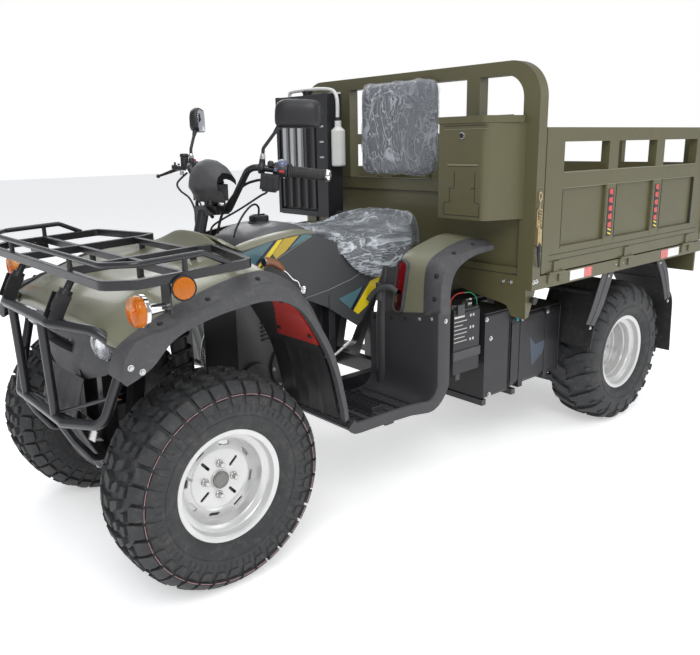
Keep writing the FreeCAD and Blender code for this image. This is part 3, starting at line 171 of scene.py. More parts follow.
def glass(name, colour, rough=0.04, alpha=1.0):
    """Clear or coloured lens with fine flutes."""
    mat, shader = tree(name)
    shader.inputs["Roughness"].default_value = rough
    shader.inputs["Transmission Weight"].default_value = alpha
    shader.inputs["IOR"].default_value = 1.45
    wave = add(mat, "ShaderNodeTexWave", Scale=90.0, Distortion=0.0)
    link(mat, place(mat), wave.inputs["Vector"])
    link(mat, ramp(mat, wave.outputs[0], 0.2, 0.8, shade(colour, 0.85), colour),
         shader.inputs["Base Color"])
    bump = add(mat, "ShaderNodeBump", Strength=0.25, Distance=0.0008)
    link(mat, wave.outputs[0], bump.inputs["Height"])
    link(mat, bump.outputs[0], shader.inputs["Normal"])
    return mat


# Colour and roughness of each finish, and how else it differs from a plain one
FINISHES = {
    "bed_olive": ((0.100, 0.091, 0.043), 0.42,
                  dict(grain=0.12, grain_scale=260, mottle=0.05, coat=0.15)),
    "olive_plastic": ((0.185, 0.182, 0.122), 0.36, dict(grain=0.05, coat=0.3)),
    "grey_plastic": ((0.058, 0.058, 0.062), 0.55, dict(grain=0.35, grain_scale=900, dust=0.10)),
    "frame_black": ((0.012, 0.012, 0.014), 0.34, dict(grain=0.08, coat=0.25)),
    "engine_metal": ((0.09, 0.09, 0.092), 0.5, dict(metal=0.7, grain=0.5, grain_scale=350)),
    "red_plastic": ((0.48, 0.018, 0.010), 0.42, dict(grain=0.1, coat=0.3)),
    "side_graphics": ((0.05, 0.052, 0.056), 0.45, dict(grain=0.15)),
    "black_plastic": ((0.014, 0.014, 0.016), 0.42, dict(grain=0.25, grain_scale=900)),
    "seat_vinyl": ((0.018, 0.018, 0.021), 0.35, dict(grain=0.6, grain_scale=420)),
    "radiator_metal": ((0.035, 0.035, 0.037), 0.45, dict(grain=0.2)),
    "white_plastic": ((0.62, 0.63, 0.60), 0.35, dict(grain=0.05)),
    "suspension_black": ((0.016, 0.016, 0.018), 0.45, dict(grain=0.15)),
    "black_rubber": ((0.016, 0.016, 0.017), 0.6, dict(grain=0.4, dust=0.08)),
    "pad_vinyl": ((0.026, 0.028, 0.036), 0.32, dict(grain=0.4, grain_scale=420)),
    "tyre": ((0.024, 0.025, 0.027), 0.62, dict(grain=0.4, grain_scale=500, dust=0.12)),
    "rim_silver": ((0.63, 0.63, 0.62), 0.32, dict(metal=0.45, grain=0.05)),
    "mould_line": ((0.45, 0.25, 0.26), 0.5, {}),
    "bright_steel": ((0.55, 0.55, 0.54), 0.25, dict(metal=0.9)),
    "cap_metal": ((0.20, 0.20, 0.19), 0.4, dict(metal=0.8, grain=0.8, grain_scale=120)),
    "chrome": ((0.72, 0.72, 0.71), 0.10, dict(metal=1.0, mottle=0.02)),
    "switch_blue": ((0.10, 0.12, 0.20), 0.25, dict(coat=0.6)),
    "signal_red": ((0.50, 0.02, 0.02), 0.3, dict(coat=0.4)),
    "mirror_glass": ((0.80, 0.83, 0.85), 0.03, dict(metal=1.0, mottle=0.01)),
    "dial_face": ((0.30, 0.34, 0.36), 0.05, dict(metal=0.3, coat=1.0)),
    "hose_black": ((0.012, 0.012, 0.013), 0.45, dict(grain=0.3)),
    "tank_grey": ((0.085, 0.085, 0.090), 0.42, dict(grain=0.25, grain_scale=900, coat=0.15)),
    "stripe_teal": ((0.075, 0.165, 0.190), 0.35, dict(coat=0.4)),
    "stripe_navy": ((0.006, 0.008, 0.025), 0.35, dict(coat=0.4)),
    "stripe_yellow": ((0.80, 0.62, 0.015), 0.35, dict(coat=0.4)),
    "stripe_ochre": ((0.50, 0.35, 0.02), 0.35, dict(coat=0.4)),
    "edge_light": ((0.20, 0.20, 0.20), 0.4, {}),
    "lever_brown": ((0.23, 0.085, 0.030), 0.35, dict(coat=0.3)),
    "tail_dark": ((0.035, 0.004, 0.005), 0.2, dict(coat=0.8)),
    "pale_line": ((0.62, 0.62, 0.60), 0.5, {}),
    "foot_plastic": ((0.040, 0.040, 0.043), 0.5, dict(grain=0.25)),
    "tank_decal": ((0.035, 0.055, 0.085), 0.35, {}),
    "bronze": ((0.23, 0.10, 0.045), 0.35, dict(metal=0.7)),
    "wire_red": ((0.42, 0.02, 0.02), 0.4, {}),
    "wire_green": ((0.01, 0.22, 0.09), 0.4, {}),
    "plug_cyan": ((0.02, 0.42, 0.55), 0.4, {}),
    "slat_pale": ((0.50, 0.51, 0.52), 0.35, dict(metal=0.3)),
    "tape_red": ((0.60, 0.035, 0.025), 0.3, dict(coat=0.6)),
    "tape_white": ((0.78, 0.78, 0.76), 0.3, dict(coat=0.6)),
    "spring_gold": ((0.50, 0.40, 0.22), 0.3, dict(metal=0.8)),
    "sticker_black": ((0.012, 0.012, 0.013), 0.35, {}),
    # dark strips: real seams between parts, and painted shade in folds, pressings and the corners
    # of recesses
    "seam_and_painted_shade": ((0.030, 0.028, 0.020), 0.7, {}),
    # lighter copy of the bed's olive, for thin strips along edges and pressings: painted highlight
    "painted_olive_highlight": ((0.22, 0.21, 0.13), 0.5, {}),
}
# Colour, roughness and clearness of each lens
LENSES = {
    "amber_lens": ((1.0, 0.28, 0.01), 0.12, 0.55),
    "lamp_glass": ((0.95, 0.97, 1.0), 0.03, 0.9),
    # paler amber: the real amber lamp on the tail board, and painted highlight on the upper part of
    # each front signal lens
    "amber_lamp_and_painted_highlight": ((1.0, 0.50, 0.22), 0.10, 0.5),
    "tail_red": ((0.33, 0.006, 0.010), 0.12, 0.55),
}
MATS = {name: finish(name, colour, rough, **more)
        for name, (colour, rough, more) in FINISHES.items()}
MATS.update({name: glass(name, *lens) for name, lens in LENSES.items()})
for item in frame["record"]["subparts"]:
    mesh = NODES[item["node"]].data
    mesh.materials.clear()
    mesh.materials.append(MATS[item["material_slot"]])


# Camera, light and floor

def show(name, data):
    """An object with this data, in the scene."""
    item = bpy.data.objects.new(name, data)
    bpy.context.scene.collection.objects.link(item)
    return item


SENSOR = 36
PICTURE_WIDTH, FOCAL_PIXELS = 700, 717.56
camera_data = bpy.data.cameras.new("camera")
camera = show("camera", camera_data)
yaw, pitch, roll = (math.radians(a) for a in (-130.72, 14.45, -0.97))
look = Vector((math.cos(yaw) * math.cos(pitch), math.sin(yaw) * math.cos(pitch),
               -math.sin(pitch)))
side = look.cross(UP).normalized()
over = side.cross(look)
right = side * math.cos(roll) + over * math.sin(roll)
over = -side * math.sin(roll) + over * math.cos(roll)
turn = Matrix((right, over, -look)).transposed().to_4x4()
camera.matrix_world = Matrix.Translation(at(0.9678, 2.1878, 1.2787)) @ turn
camera_data.sensor_width = SENSOR
camera_data.lens = FOCAL_PIXELS / PICTURE_WIDTH * SENSOR
camera_data.clip_end = 60
bpy.context.scene.camera = camera
bpy.context.scene.view_settings.view_transform = "Standard"


def lamp(name, place_at, size, power, target=(0, 0, 0.5)):
    data = bpy.data.lights.new(name, "AREA")
    data.shape = "RECTANGLE"
    data.size, data.size_y = size
    data.energy = power
    item = show(name, data)
    item.location = place_at
    item.rotation_euler = (Vector(target) - Vector(place_at)).to_track_quat("-Z", "Y").to_euler()


lamp("key", (3.2, 3.6, 4.4), (3.0, 3.0), 150)
lamp("fill", (-3.0, 4.5, 3.0), (3.0, 3.0), 70)
lamp("back", (-1.0, -4.5, 4.0), (4.0, 2.5), 90)
lamp("top", (0.0, 0.5, 5.5), (5.0, 4.0), 110)

world = bpy.data.worlds.new("studio")
bpy.context.scene.world = world
world.use_nodes = True
wn, wl = world.node_tree.nodes, world.node_tree.links
wn.clear()
w_out = wn.new("ShaderNodeOutputWorld")
w_soft, w_seen = wn.new("ShaderNodeBackground"), wn.new("ShaderNodeBackground")
w_soft.inputs[0].default_value = (0.92, 0.95, 1.0, 1)
w_soft.inputs[1].default_value = 0.42
w_seen.inputs[0].default_value = (1, 1, 1, 1)
w_seen.inputs[1].default_value = 1.0
w_mix, w_path = wn.new("ShaderNodeMixShader"), wn.new("ShaderNodeLightPath")
wl.new(w_path.outputs["Is Camera Ray"], w_mix.inputs[0])
wl.new(w_soft.outputs[0], w_mix.inputs[1])
wl.new(w_seen.outputs[0], w_mix.inputs[2])
wl.new(w_mix.outputs[0], w_out.inputs[0])

floor_mesh = bpy.data.meshes.new("floor")
floor_mesh.from_pydata([(-30, -30, 0), (30, -30, 0), (30, 30, 0), (-30, 30, 0)], [],
                       [(0, 1, 2, 3)])
floor = show("floor", floor_mesh)
floor_mat, floor_shader = tree("floor")
floor_shader.inputs["Base Color"].default_value = (0.97, 0.97, 0.97, 1)
floor_shader.inputs["Emission Color"].default_value = (1, 1, 1, 1)
floor_shader.inputs["Emission Strength"].default_value = 0.45
floor_shader.inputs["Roughness"].default_value = 0.9
floor_mesh.materials.append(floor_mat)


# Building shapes

BOX_FACES = [(0, 3, 2, 1), (4, 5, 6, 7), (0, 1, 5, 4), (1, 2, 6, 5), (2, 3, 7, 6), (3, 0, 4, 7)]


def box_corners(low, high):
    (a, b, c), (d, e, f) = low, high
    return [(a, b, c), (d, b, c), (d, e, c), (a, e, c), (a, b, f), (d, b, f), (d, e, f),
            (a, e, f)]


def soften(data):
    for polygon in data.polygons:
        polygon.use_smooth = True


class Shape:
    """Vertices and faces of one piece, with a material index for each face."""

    def __init__(self):
        self.verts, self.faces, self.index = [], [], []

    def add(self, verts, faces, mat=0):
        base = len(self.verts)
        self.verts += [tuple(v) for v in verts]
        self.faces += [tuple(base + i for i in f) for f in faces]
        self.index += [mat] * len(faces)

    def rings(self, rings, mat=0, caps=(True, True), wrap=False):
        """Skin equal rings of points, closed round each ring."""
        count, n = len(rings), len(rings[0])
        faces = []
        for i in range(count if wrap else count - 1):
            a, b = i * n, (i + 1) % count * n
            faces += [(a + k, a + (k + 1) % n, b + (k + 1) % n, b + k) for k in range(n)]
        if not wrap and caps[0]:
            faces.append(tuple(reversed(range(n))))
        if not wrap and caps[1]:
            faces.append(tuple((count - 1) * n + k for k in range(n)))
        self.add([p for ring in rings for p in ring], faces, mat)

    def lathe(self, profile, centre, axis, steps=72, mat=0):
        """Turn (along, radius) points about an axis. An open profile that starts and ends on
        the axis makes a solid."""
        axis = Vector(axis).normalized()
        spin = axis.to_track_quat("Z", "Y")
        centre = Vector(centre)
        rings = []
        for j in range(steps):
            turn = 2 * math.pi * j / steps
            out = spin @ Vector((math.cos(turn), math.sin(turn), 0))
            rings.append([centre + axis * a + out * r for a, r in profile])
        n = len(profile)
        faces = []
        for j in range(steps):
            a, b = j * n, (j + 1) % steps * n
            faces += [(a + k, a + k + 1, b + k + 1, b + k) for k in range(n - 1)]
        self.add([p for ring in rings for p in ring], faces, mat)

    def box(self, low, high, mat=0):
        self.add(box_corners(low, high), BOX_FACES, mat)

    def prism(self, outline, depth, mat=0):
        """A closed outline of points and the same outline moved by depth."""
        depth = Vector(depth)
        self.rings([[Vector(p) for p in outline], [Vector(p) + depth for p in outline]], mat)

    def tube(self, points, radius, sides=12, mat=0, caps=(True, True)):
        """Sweep a circle along points. radius is a number or one for each point."""
        points = [Vector(p) for p in points]
        radii = radius if isinstance(radius, (list, tuple)) else [radius] * len(points)
        heading = (points[1] - points[0]).normalized()
        normal = heading.orthogonal().normalized()
        rings = []
        for i, point in enumerate(points):
            ahead = points[min(i + 1, len(points) - 1)] - points[max(i - 1, 0)]
            ahead.normalize()
            normal = heading.rotation_difference(ahead) @ normal
            normal = (normal - ahead * normal.dot(ahead)).normalized()
            heading = ahead
            across = heading.cross(normal)
            rings.append([point + (normal * math.cos(2 * math.pi * k / sides)
                                   + across * math.sin(2 * math.pi * k / sides)) * radii[i]
                          for k in range(sides)])
        self.rings(rings, mat, caps)

    def rod(self, start, end, radius, sides=16, mat=0):
        self.tube([start, end], radius, sides, mat)

    def bolt(self, where, axis, radius=0.007, height=0.005, mat=0, washer=True):
        """Hexagon head on a washer."""
        axis = Vector(axis).normalized()
        where = Vector(where)
        if washer:
            self.tube([where, where + axis * height * 0.3], radius * 1.5, 16, mat)
        self.tube([where, where + axis * height, where + axis * height * 1.25],
                  [radius, radius, radius * 0.8], 6, mat)

    def piece(self, name, body, mats, slot, smooth=32, bevel=0.0, segments=2, cover=(), sub=0):
        """Make the object: it rides on a body and takes its finishes from mats. slot is not used.
        """
        data = bpy.data.meshes.new(name)
        data.from_pydata([tuple(v) for v in self.verts], [], self.faces)
        for mat in mats:
            data.materials.append(MATS[mat])
        data.polygons.foreach_set("material_index", self.index)
        work = bmesh.new()
        work.from_mesh(data)
        bmesh.ops.remove_doubles(work, verts=work.verts, dist=1e-6)
        bmesh.ops.recalc_face_normals(work, faces=work.faces)
        work.to_mesh(data)
        work.free()
        item = show(name, data)
        if sub:
            modifier = item.modifiers.new("surface", "SUBSURF")
            modifier.levels = modifier.render_levels = sub
        if bevel:
            modifier = item.modifiers.new("edge", "BEVEL")
            modifier.width, modifier.segments = bevel, segments
            modifier.limit_method, modifier.angle_limit = "ANGLE", math.radians(smooth)
            modifier.harden_normals = False
        soften(data)
        data.set_sharp_from_angle(angle=math.radians(smooth))
        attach(item, body)
        if cover:
            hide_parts(*cover)
        return item


def smooth_line(points, steps=6, closed=False):
    """Points along a smooth curve through the given ones."""
    points = [Vector(p) for p in points]
    n = len(points)
    line = []
    for i in range(n if closed else n - 1):
        if closed:
            a, b, c, d = (points[(i + k) % n] for k in (-1, 0, 1, 2))
        else:
            a, b, c, d = points[max(i - 1, 0)], points[i], points[i + 1], points[min(i + 2, n - 1)]
        for k in range(steps):
            t = k / steps
            line.append(0.5 * ((2 * b) + (c - a) * t + (2 * a - 5 * b + 4 * c - d) * t * t
                               + (3 * b - 3 * c + d - a) * t ** 3))
    if not closed:
        line.append(points[-1])
    return line


def bent(points, bends, steps=7):
    """Straight runs joined by arcs of the bend radii, as a bent tube's centre line."""
    points = [Vector(p) for p in points]
    line = [points[0]]
    for i in range(1, len(points) - 1):
        radius = bends[i - 1] if isinstance(bends, (list, tuple)) else bends
        here = points[i]
        back, on = (points[i - 1] - here).normalized(), (points[i + 1] - here).normalized()
        half = back.angle(on) / 2
        reach = radius / math.tan(half)
        middle = here + (back + on).normalized() * (radius / math.sin(half))
        start, end = here + back * reach - middle, here + on * reach - middle
        for k in range(steps + 1):
            arm = start * (1 - k / steps) + end * (k / steps)
            line.append(middle + arm.normalized() * radius)
    line.append(points[-1])
    return line


def flip(points):
    return [Vector((p[0], -p[1], p[2])) for p in points]


# Wheels

TREAD = [(0, 311), (34, 310.5), (62, 308), (84, 302), (99, 291), (108, 276), (112.5, 258),
         (114, 238), (112, 214), (107, 192), (100, 180), (93, 172)]


def tread_point(across, angle, lift):
    """A point on the tyre in its own frame: across from the centre line along the carcass and
    lift above it, both in mm. The wheel turns about Y."""
    sign = 1 if across >= 0 else -1
    left = abs(across)
    for (y0, r0), (y1, r1) in zip(TREAD, TREAD[1:]):
        run = math.hypot(y1 - y0, r1 - r0)
        if left <= run or (y1, r1) == TREAD[-1]:
            break
        left -= run
    share = left / run
    y, r = y0 + (y1 - y0) * share, r0 + (r1 - r0) * share
    # the normal turns smoothly from the crown to the sidewall
    lean = min(1, max(0, (abs(across) - 50) / 95))
    lean = lean * lean * (3 - 2 * lean) * math.radians(84)
    y += math.sin(lean) * lift
    r += math.cos(lean) * lift
    return Vector((r * math.cos(angle), sign * y, r * math.sin(angle))) / 1000


def lug(shape, sections, centre, side, draft=1.6):
    """A tread block: sections are (across, low, high, height) in mm, low and high around the
    tyre at its crown."""
    growing = 1 if sections[-1][0] > sections[0][0] else -1
    rings = []
    for i, (across, low, high, height) in enumerate(sections):
        inset = growing * draft * ((i == 0) - (i == len(sections) - 1))
        corners = ((across, low, -3), (across + inset, low + draft, height),
                   (across + inset, high - draft, height), (across, high, -3))
        rings.append([Vector(centre) + tread_point(s * side, t / CROWN, h) for s, t, h in corners])
    shape.rings(rings)


def knobbly(shape, centre, side):
    """Mud blocks: two staggered pairs at the middle and shoulder blocks of two lengths."""
    count = 18
    pitch = 2 * math.pi * CROWN / count
    for i in range(count):
        t = i * pitch
        for flank, shift in ((1, 0), (-1, pitch / 2)):
            def block(points, height=14.0):
                lug(shape, [(flank * s, t + shift + a, t + shift + b, height)
                            for s, a, b in points], centre, side)
            block([(5, 6, 36), (22, 10, 44), (46, 26, 52)])
            block([(9, 62, 84), (28, 66, 98), (38, 74, 98)])
            block([(52, 60, 92), (64, 62, 96), (70, 64, 96)], 13.5)
            block([(58, 0, 22), (66, -2, 24), (74, -2, 22)], 13.5)
            block([(78, 60, 104), (92, 58, 106), (106, 58, 106), (118, 60, 104)], 12)
            block([(84, 4, 48), (94, 2, 50), (106, 2, 50), (120, 4, 46)], 12)
            block([(122, 60, 104), (132, 61, 103), (150, 64, 98)], 5)
            block([(124, 4, 46), (134, 5, 45), (148, 8, 42)], 5)
            for k in range(4):
                a = 8 + k * 28
                block([(152, a, a + 5), (160, a, a + 5), (172, a + 1, a + 4)], 1.6)


def chevron(shape, centre, side):
    """Long bars that lean from the middle out over each shoulder."""
    count = 20
    pitch = 2 * math.pi * CROWN / count
    for i in range(count):
        for flank, shift in ((1, 0), (-1, pitch / 2)):
            t = i * pitch + shift
            bar = [(-4, -14, 14), (16, -8, 22), (34, 2, 32), (52, 12, 44), (70, 20, 54),
                   (86, 24, 60), (100, 26, 62), (114, 28, 62), (128, 30, 60)]
            lug(shape, [(flank * s, t + a, t + b, 14 - max(0, s - 86) * 0.12)
                        for s, a, b in bar], centre, side)
            lug(shape, [(flank * s, t + a, t + b, 4) for s, a, b in
                        [(130, 30, 60), (142, 32, 58), (160, 36, 52)]], centre, side)
            lug(shape, [(flank * s, t + a, t + b, 7) for s, a, b in
                        [(84, 72, 88), (100, 72, 90), (112, 74, 88)]], centre, side)


def make_tyre(name, x, y, tread):
    body = "wheel_" + name.replace("_tyre", "")
    side = 1 if y > 0 else -1
    centre = Vector((x, y, WHEEL_RADIUS))
    shape = Shape()
    curve = smooth_line([(a, r, 0) for a, r in TREAD], 3)
    half = [(p.x, p.y) for p in curve] + [(88, 166), (86.5, 160), (84, 158.4)]
    outline = [(-a / 1000, r / 1000) for a, r in reversed(half)] + \
              [(a / 1000, r / 1000) for a, r in half[1:]]
    shape.lathe(outline + [(0, 0.29), outline[0]], centre, (0, 1, 0), 144)
    tread(shape, centre, side)
    for flank in (-1, 1):
        bead = [centre + tread_point(flank * 182, 2 * math.pi * k / 96, 0.4) for k in range(97)]
        shape.tube(bead, 0.0016, 6, caps=(False, False))
    shape.piece(name + "_rubber", body, ["tyre"], "tyre", 40, 0.0012, 1, cover=(name,))
    if tread is knobbly:
        line = Shape()
        for k in range(36):
            # the mould line shows on the shoulder blocks' ends
            turn = (k * 55.5 + 2) / CROWN
            arc = [centre + tread_point(side * 120.6, turn + j * 0.0346, 12.6 - 0.3 * (k % 2))
                   for j in range(5)]
            line.tube(arc, 0.0009, 5)
        line.piece(name + "_line", body, ["mould_line"], "tyre")


# Profiles of the rims from the middle plane outward: (along, radius) in mm.
BARREL = [(-91, 154), (-91, 170), (-86, 171), (-82, 160), (-58, 158), (-50, 137), (50, 137),
          (58, 158), (82, 160), (86, 171), (90, 171.5), (92, 169), (91, 158), (88, 153),
          (66, 151.5), (63, 149), (61.5, 143), (56, 133)]
FRONT_DISH = [(54, 131), (22, 130), (18, 128), (19, 124), (22, 116), (27, 104), (29, 97), (26, 93),
              (24, 88), (26, 60), (27, 42), (28, 30), (33, 29), (33, 0), (29, 0), (27, 24),
              (22, 42), (20, 88), (22, 94), (23, 98), (21, 104), (16, 116), (13, 124), (13, 132),
              (-49, 133), (-56, 154)]
REAR_DISH = [(52, 131), (30, 130), (26, 127), (12, 126.5), (8, 130), (-22, 130), (-26, 127),
             (-25, 118), (-20, 102), (-22, 92), (-24, 64), (-14, 56), (-10, 54), (-8, 40),
             (-8, 0), (-13, 0), (-13, 40), (-18, 54), (-29, 64), (-27, 92), (-26, 102),
             (-31, 118), (-33, 133), (-49, 133), (-56, 154)]


def slot_cut(shape, centre, side, radius, turn, length, width, around):
    """A cutter through a rim's disc: a slot along the circle, or along the radius."""
    out = Vector((math.cos(turn), 0, math.sin(turn)))
    along = Vector((-math.sin(turn), 0, math.cos(turn))) if around else out
    across = out if around else Vector((-math.sin(turn), 0, math.cos(turn)))
    middle = centre + out * radius
    ring = []
    for end in (1, -1):
        for k in range(9):
            swing = math.pi * (k / 8 - 0.5)
            ring.append(middle + along * end * (length - width) / 2
                        + (along * math.cos(swing) + across * math.sin(swing)) * end * width / 2)
    reach = Vector((0, side, 0))
    shape.rings([[p - reach * 0.045 for p in ring], [p + reach * 0.05 for p in ring]])


def make_rim(name, x, y, front):
    side = 1 if y > 0 else -1
    centre = Vector((x, y, WHEEL_RADIUS))
    body = "wheel_" + name.replace("_rim", "")
    shape = Shape()
    profile = [(a / 1000, r / 1000) for a, r in BARREL + (FRONT_DISH if front else REAR_DISH)]
    shape.lathe(profile + [profile[0]], centre, (0, side, 0), 96)
    rim = shape.piece(name + "_metal", body, ["rim_silver"], "rim_silver", 30, cover=(name,))
    cutters = Shape()
    for k in range(8):
        turn = math.radians(45 * k + 12)
        slot_cut(cutters, centre, side, 0.110, turn, *((0.036, 0.012) if front else (0.015, 0.014)),
                 True)
    for k in range(4 if front else 0):
        slot_cut(cutters, centre, side, 0.066, math.radians(90 * k + 50), 0.036, 0.009, False)
    carve(rim, cutters)
    fittings = Shape()
    face = 0.027 if front else -0.022
    for k in range(4):
        turn = math.radians(90 * k + 5)
        spot = centre + Vector((math.cos(turn) * 0.048, side * face, math.sin(turn) * 0.048))
        fittings.lathe([(0, 0), (0, 0.0125), (0.003, 0.0115), (0.005, 0.009), (0.005, 0)], spot,
                       (0, side, 0), 20)
        fittings.bolt(spot + Vector((0, side * 0.004, 0)), (0, side, 0), 0.0085, 0.012,
                      washer=False)
    valve = centre + Vector((0.125, side * (0.05 if front else 0.02), 0.055))
    fittings.rod(valve, valve + Vector((-0.012, side * 0.03, -0.005)), 0.004, 10)
    fittings.piece(name + "_nuts", body, ["bright_steel"], "rim_silver", 40, 0.0006, 1)
    cap = Shape()
    base = 0.033 if front else -0.008
    cap.lathe([(base - 0.002, 0), (base - 0.002, 0.026), (base + 0.004, 0.0265),
               (base + 0.006, 0.023), (base + 0.004, 0.020), (base + 0.006, 0.0)],
              centre, (0, side, 0), 40)
    cap.piece(name + "_cap", body, ["cap_metal"], "rim_silver", 35)


def carve(item, cutter_shape):
    """Cut the cutter's volumes out of a piece."""
    tool = cutter_shape.piece(item.name + "_tool", item["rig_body"], ["rim_silver"], "rim_silver")
    modifier = item.modifiers.new("cut", "BOOLEAN")
    modifier.operation, modifier.solver, modifier.object = "DIFFERENCE", "EXACT", tool
    modifier.use_self = True
    settle(item)
    bpy.data.objects.remove(tool)


def settle(item):
    """Apply a piece's modifiers to its mesh."""
    bpy.context.view_layer.update()
    seen = item.evaluated_get(bpy.context.evaluated_depsgraph_get())
    data = bpy.data.meshes.new_from_object(seen)
    item.modifiers.clear()
    old, item.data = item.data, data
    bpy.data.meshes.remove(old)
    data.set_sharp_from_angle(angle=math.radians(30))


for end, x, y, tread in (("front", AXLE, 0.435, knobbly), ("rear", REAR, 0.51, chevron)):
    for hand, side_y in (("left", y), ("right", -y)):
        make_tyre(f"{end}_{hand}_tyre", x, side_y, tread)
        make_rim(f"{end}_{hand}_rim", x, side_y, end == "front")


# Front bodywork

# Rows round the wheel: degrees, then in mm the lip's, shoulder's and seam's radius and the
# seam's distance from the middle.
FENDER = [(53, 463, 478, 484, 447), (58, 454, 515, 522, 450), (64, 455, 534, 531, 453),
          (73, 484, 515, 536, 456), (85, 500, 523, 556, 456), (96, 518, 547, 588, 456),
          (107, 545, 588, 625, 456), (114, 553, 597, 626, 458), (121, 545, 575, 612, 462),
          (128, 522, 548, 580, 474), (134, 504, 530, 546, 486), (155, 456, 480, 488, 492),
          (170, 442, 464, 470, 494)]


def between(table, step):
    """A row of a table at any step, along smooth curves through its columns."""
    k = max(j for j in range(len(table) - 1) if table[j][0] <= step + 1e-9)
    low, high = table[k], table[k + 1]
    before, after = table[max(k - 1, 0)], table[min(k + 2, len(table) - 1)]
    span = high[0] - low[0]
    u = (step - low[0]) / span
    row = [step]
    for c in range(1, len(low)):
        first = (high[c] - before[c]) / (high[0] - before[0]) * span
        second = (after[c] - low[c]) / (after[0] - low[0]) * span
        row.append((2 * u**3 - 3 * u**2 + 1) * low[c] + (u**3 - 2 * u**2 + u) * first
                   + (3 * u**2 - 2 * u**3) * high[c] + (u**3 - u**2) * second)
    return row


def spread(table, count):
    first, last = table[0][0], table[-1][0]
    return [between(table, first + (last - first) * i / (count - 1)) for i in range(count)]


def around(angle, radius, y):
    """A point round the left front wheel's centre, sizes in mm."""
    turn = math.radians(angle)
    return at(radius / 1000 * math.cos(turn), y / 1000,
              WHEEL_RADIUS + radius / 1000 * math.sin(turn))


def mix(a, b, share):
    return a + (b - a) * share


def flare_section(row):
    """Closed outline across the front flare: seam, top, rolled shoulder, face and lip."""
    angle, edge, shoulder, seam, seam_y = row
    outer = [(seam, seam_y), (mix(seam, shoulder, .5) + 3, mix(seam_y, 513, .5)),
             (shoulder + 3, 513), (shoulder, 519.5), (shoulder - 6, 522.5),
             (mix(edge, shoulder, .4), 525), (edge + 3, 527), (edge, 527), (edge, 505)]
    inner = [(edge + 4, 505), (edge + 5, 522.5), (mix(edge, shoulder, .4), 521),
             (shoulder - 8, 518), (shoulder - 5, 511),
             (mix(seam, shoulder, .5) - 2, mix(seam_y, 511, .5)), (seam - 4, seam_y)]
    return [around(angle, r, y) for r, y in outer + inner]


def pad_rings(start, end):
    """A raised flat on the flare's upper surface between two angles."""
    low, high, lift = 0.25, 0.92, 4.5
    rings = []
    for k in range(5):
        angle, _, shoulder, seam, seam_y = between(FENDER, mix(start, end, k / 4))
        ease = 0.0 if k in (0, 4) else lift
        rings.append([around(angle, mix(seam, shoulder + 3, share) + up,
                             mix(seam_y, 513, share) + up * 0.25)
                      for share, up in ((low, -2), (low + 0.04, ease), (high - 0.04, ease),
                                        (high, -2))])
    return rings


def sided(points, sign):
    return [Vector(p) for p in points] if sign > 0 else flip(points)


PADS = [(68, 77), (84, 93), (100, 109), (117, 125)]
for hand, sign in SIDES:
    flare = Shape()
    flare.rings([sided(flare_section(row), sign) for row in spread(FENDER, 60)])
    for start, end in PADS:
        flare.rings([sided(ring, sign) for ring in pad_rings(start, end)])
    flare.piece(f"front_flare_{hand}", "chassis", ["grey_plastic"], "grey_plastic", 32, 0.0012, 2,
                cover=("front_flares",) if sign > 0 else ())
    bolts, steel = Shape(), Shape()
    for start, end in PADS:
        angle, _, shoulder, seam, seam_y = between(FENDER, (start + end) / 2)
        r, y = mix(seam, shoulder + 3, 0.6) + 4.5, mix(seam_y, 513, 0.6)
        spot, over = sided([around(angle, r, y), around(angle, r + 10, y + 4)], sign)
        bolts.bolt(spot, over - spot, 0.006, 0.004)
    bolts.piece(f"flare_bolts_{hand}", "chassis", ["black_plastic"], "black_plastic", 30, 0.0004, 1)
    for angle, radius in ((57.5, 492), (59.5, 462)):
        steel.bolt(sided([around(angle, radius, 526)], sign)[0], (0, sign, 0), 0.006, 0.004)
    steel.piece(f"flare_steel_bolts_{hand}", "chassis", ["bright_steel"], "rim_silver", 30,
                0.0004, 1)


# The hood's height in mm at each distance out from the middle, by its place from the axle.
HOOD_COLUMNS = (0, 100, 200, 300, 390, 448)
HOOD = [(262, 792, 794, 796, 790, 776, 766), (256, 818, 820, 820, 808, 790, 776),
        (238, 840, 842, 840, 828, 808, 796), (205, 856, 858, 858, 846, 826, 812),
        (160, 872, 874, 874, 864, 846, 832), (100, 892, 894, 894, 886, 872, 858),
        (40, 906, 908, 908, 902, 892, 878), (-30, 918, 920, 921, 916, 908, 896),
        (-100, 929, 931, 932, 929, 923, 909), (-160, 938, 940, 938, 934, 930, 919),
        (-186, 944, 946, 940, 936, 932, 921), (-204, 1000, 998, 958, 938, 932, 919),
        (-214, 1010, 1008, 966, 940, 930, 917)]
NECK_COLUMNS = (0, 100, 188)
NECK = [(-352, 930, 925, 905), (-300, 968, 962, 940), (-232, 1004, 1002, 962)]


def shell_rings(table, columns):
    """Sections of a sheet 4 mm thick, from its height in each column."""
    thick = 4
    rings = []
    for row in table:
        over = list(zip(columns, row[1:]))
        full = [(-y, z) for y, z in reversed(over)] + over[1:]
        ring = full + [(y, z - thick) for y, z in reversed(full)]
        rings.append([at(row[0] / 1000, y / 1000, z / 1000) for y, z in ring])
    return rings


hood = Shape()
hood.rings(shell_rings(HOOD, HOOD_COLUMNS))
hood.piece("hood", "chassis", ["olive_plastic"], "olive_plastic", 50, sub=2,
           cover=("front_body",))
neck = Shape()
neck.rings(shell_rings(NECK, NECK_COLUMNS))
neck.piece("hood_neck", "chassis", ["olive_plastic"], "olive_plastic", 50, sub=1)


# Front rack: square bars with a round rail above

def rack_at(x, y, up=0.0):
    return at(x, y, 0.945 + 0.045 * (0.29 - x) + up)


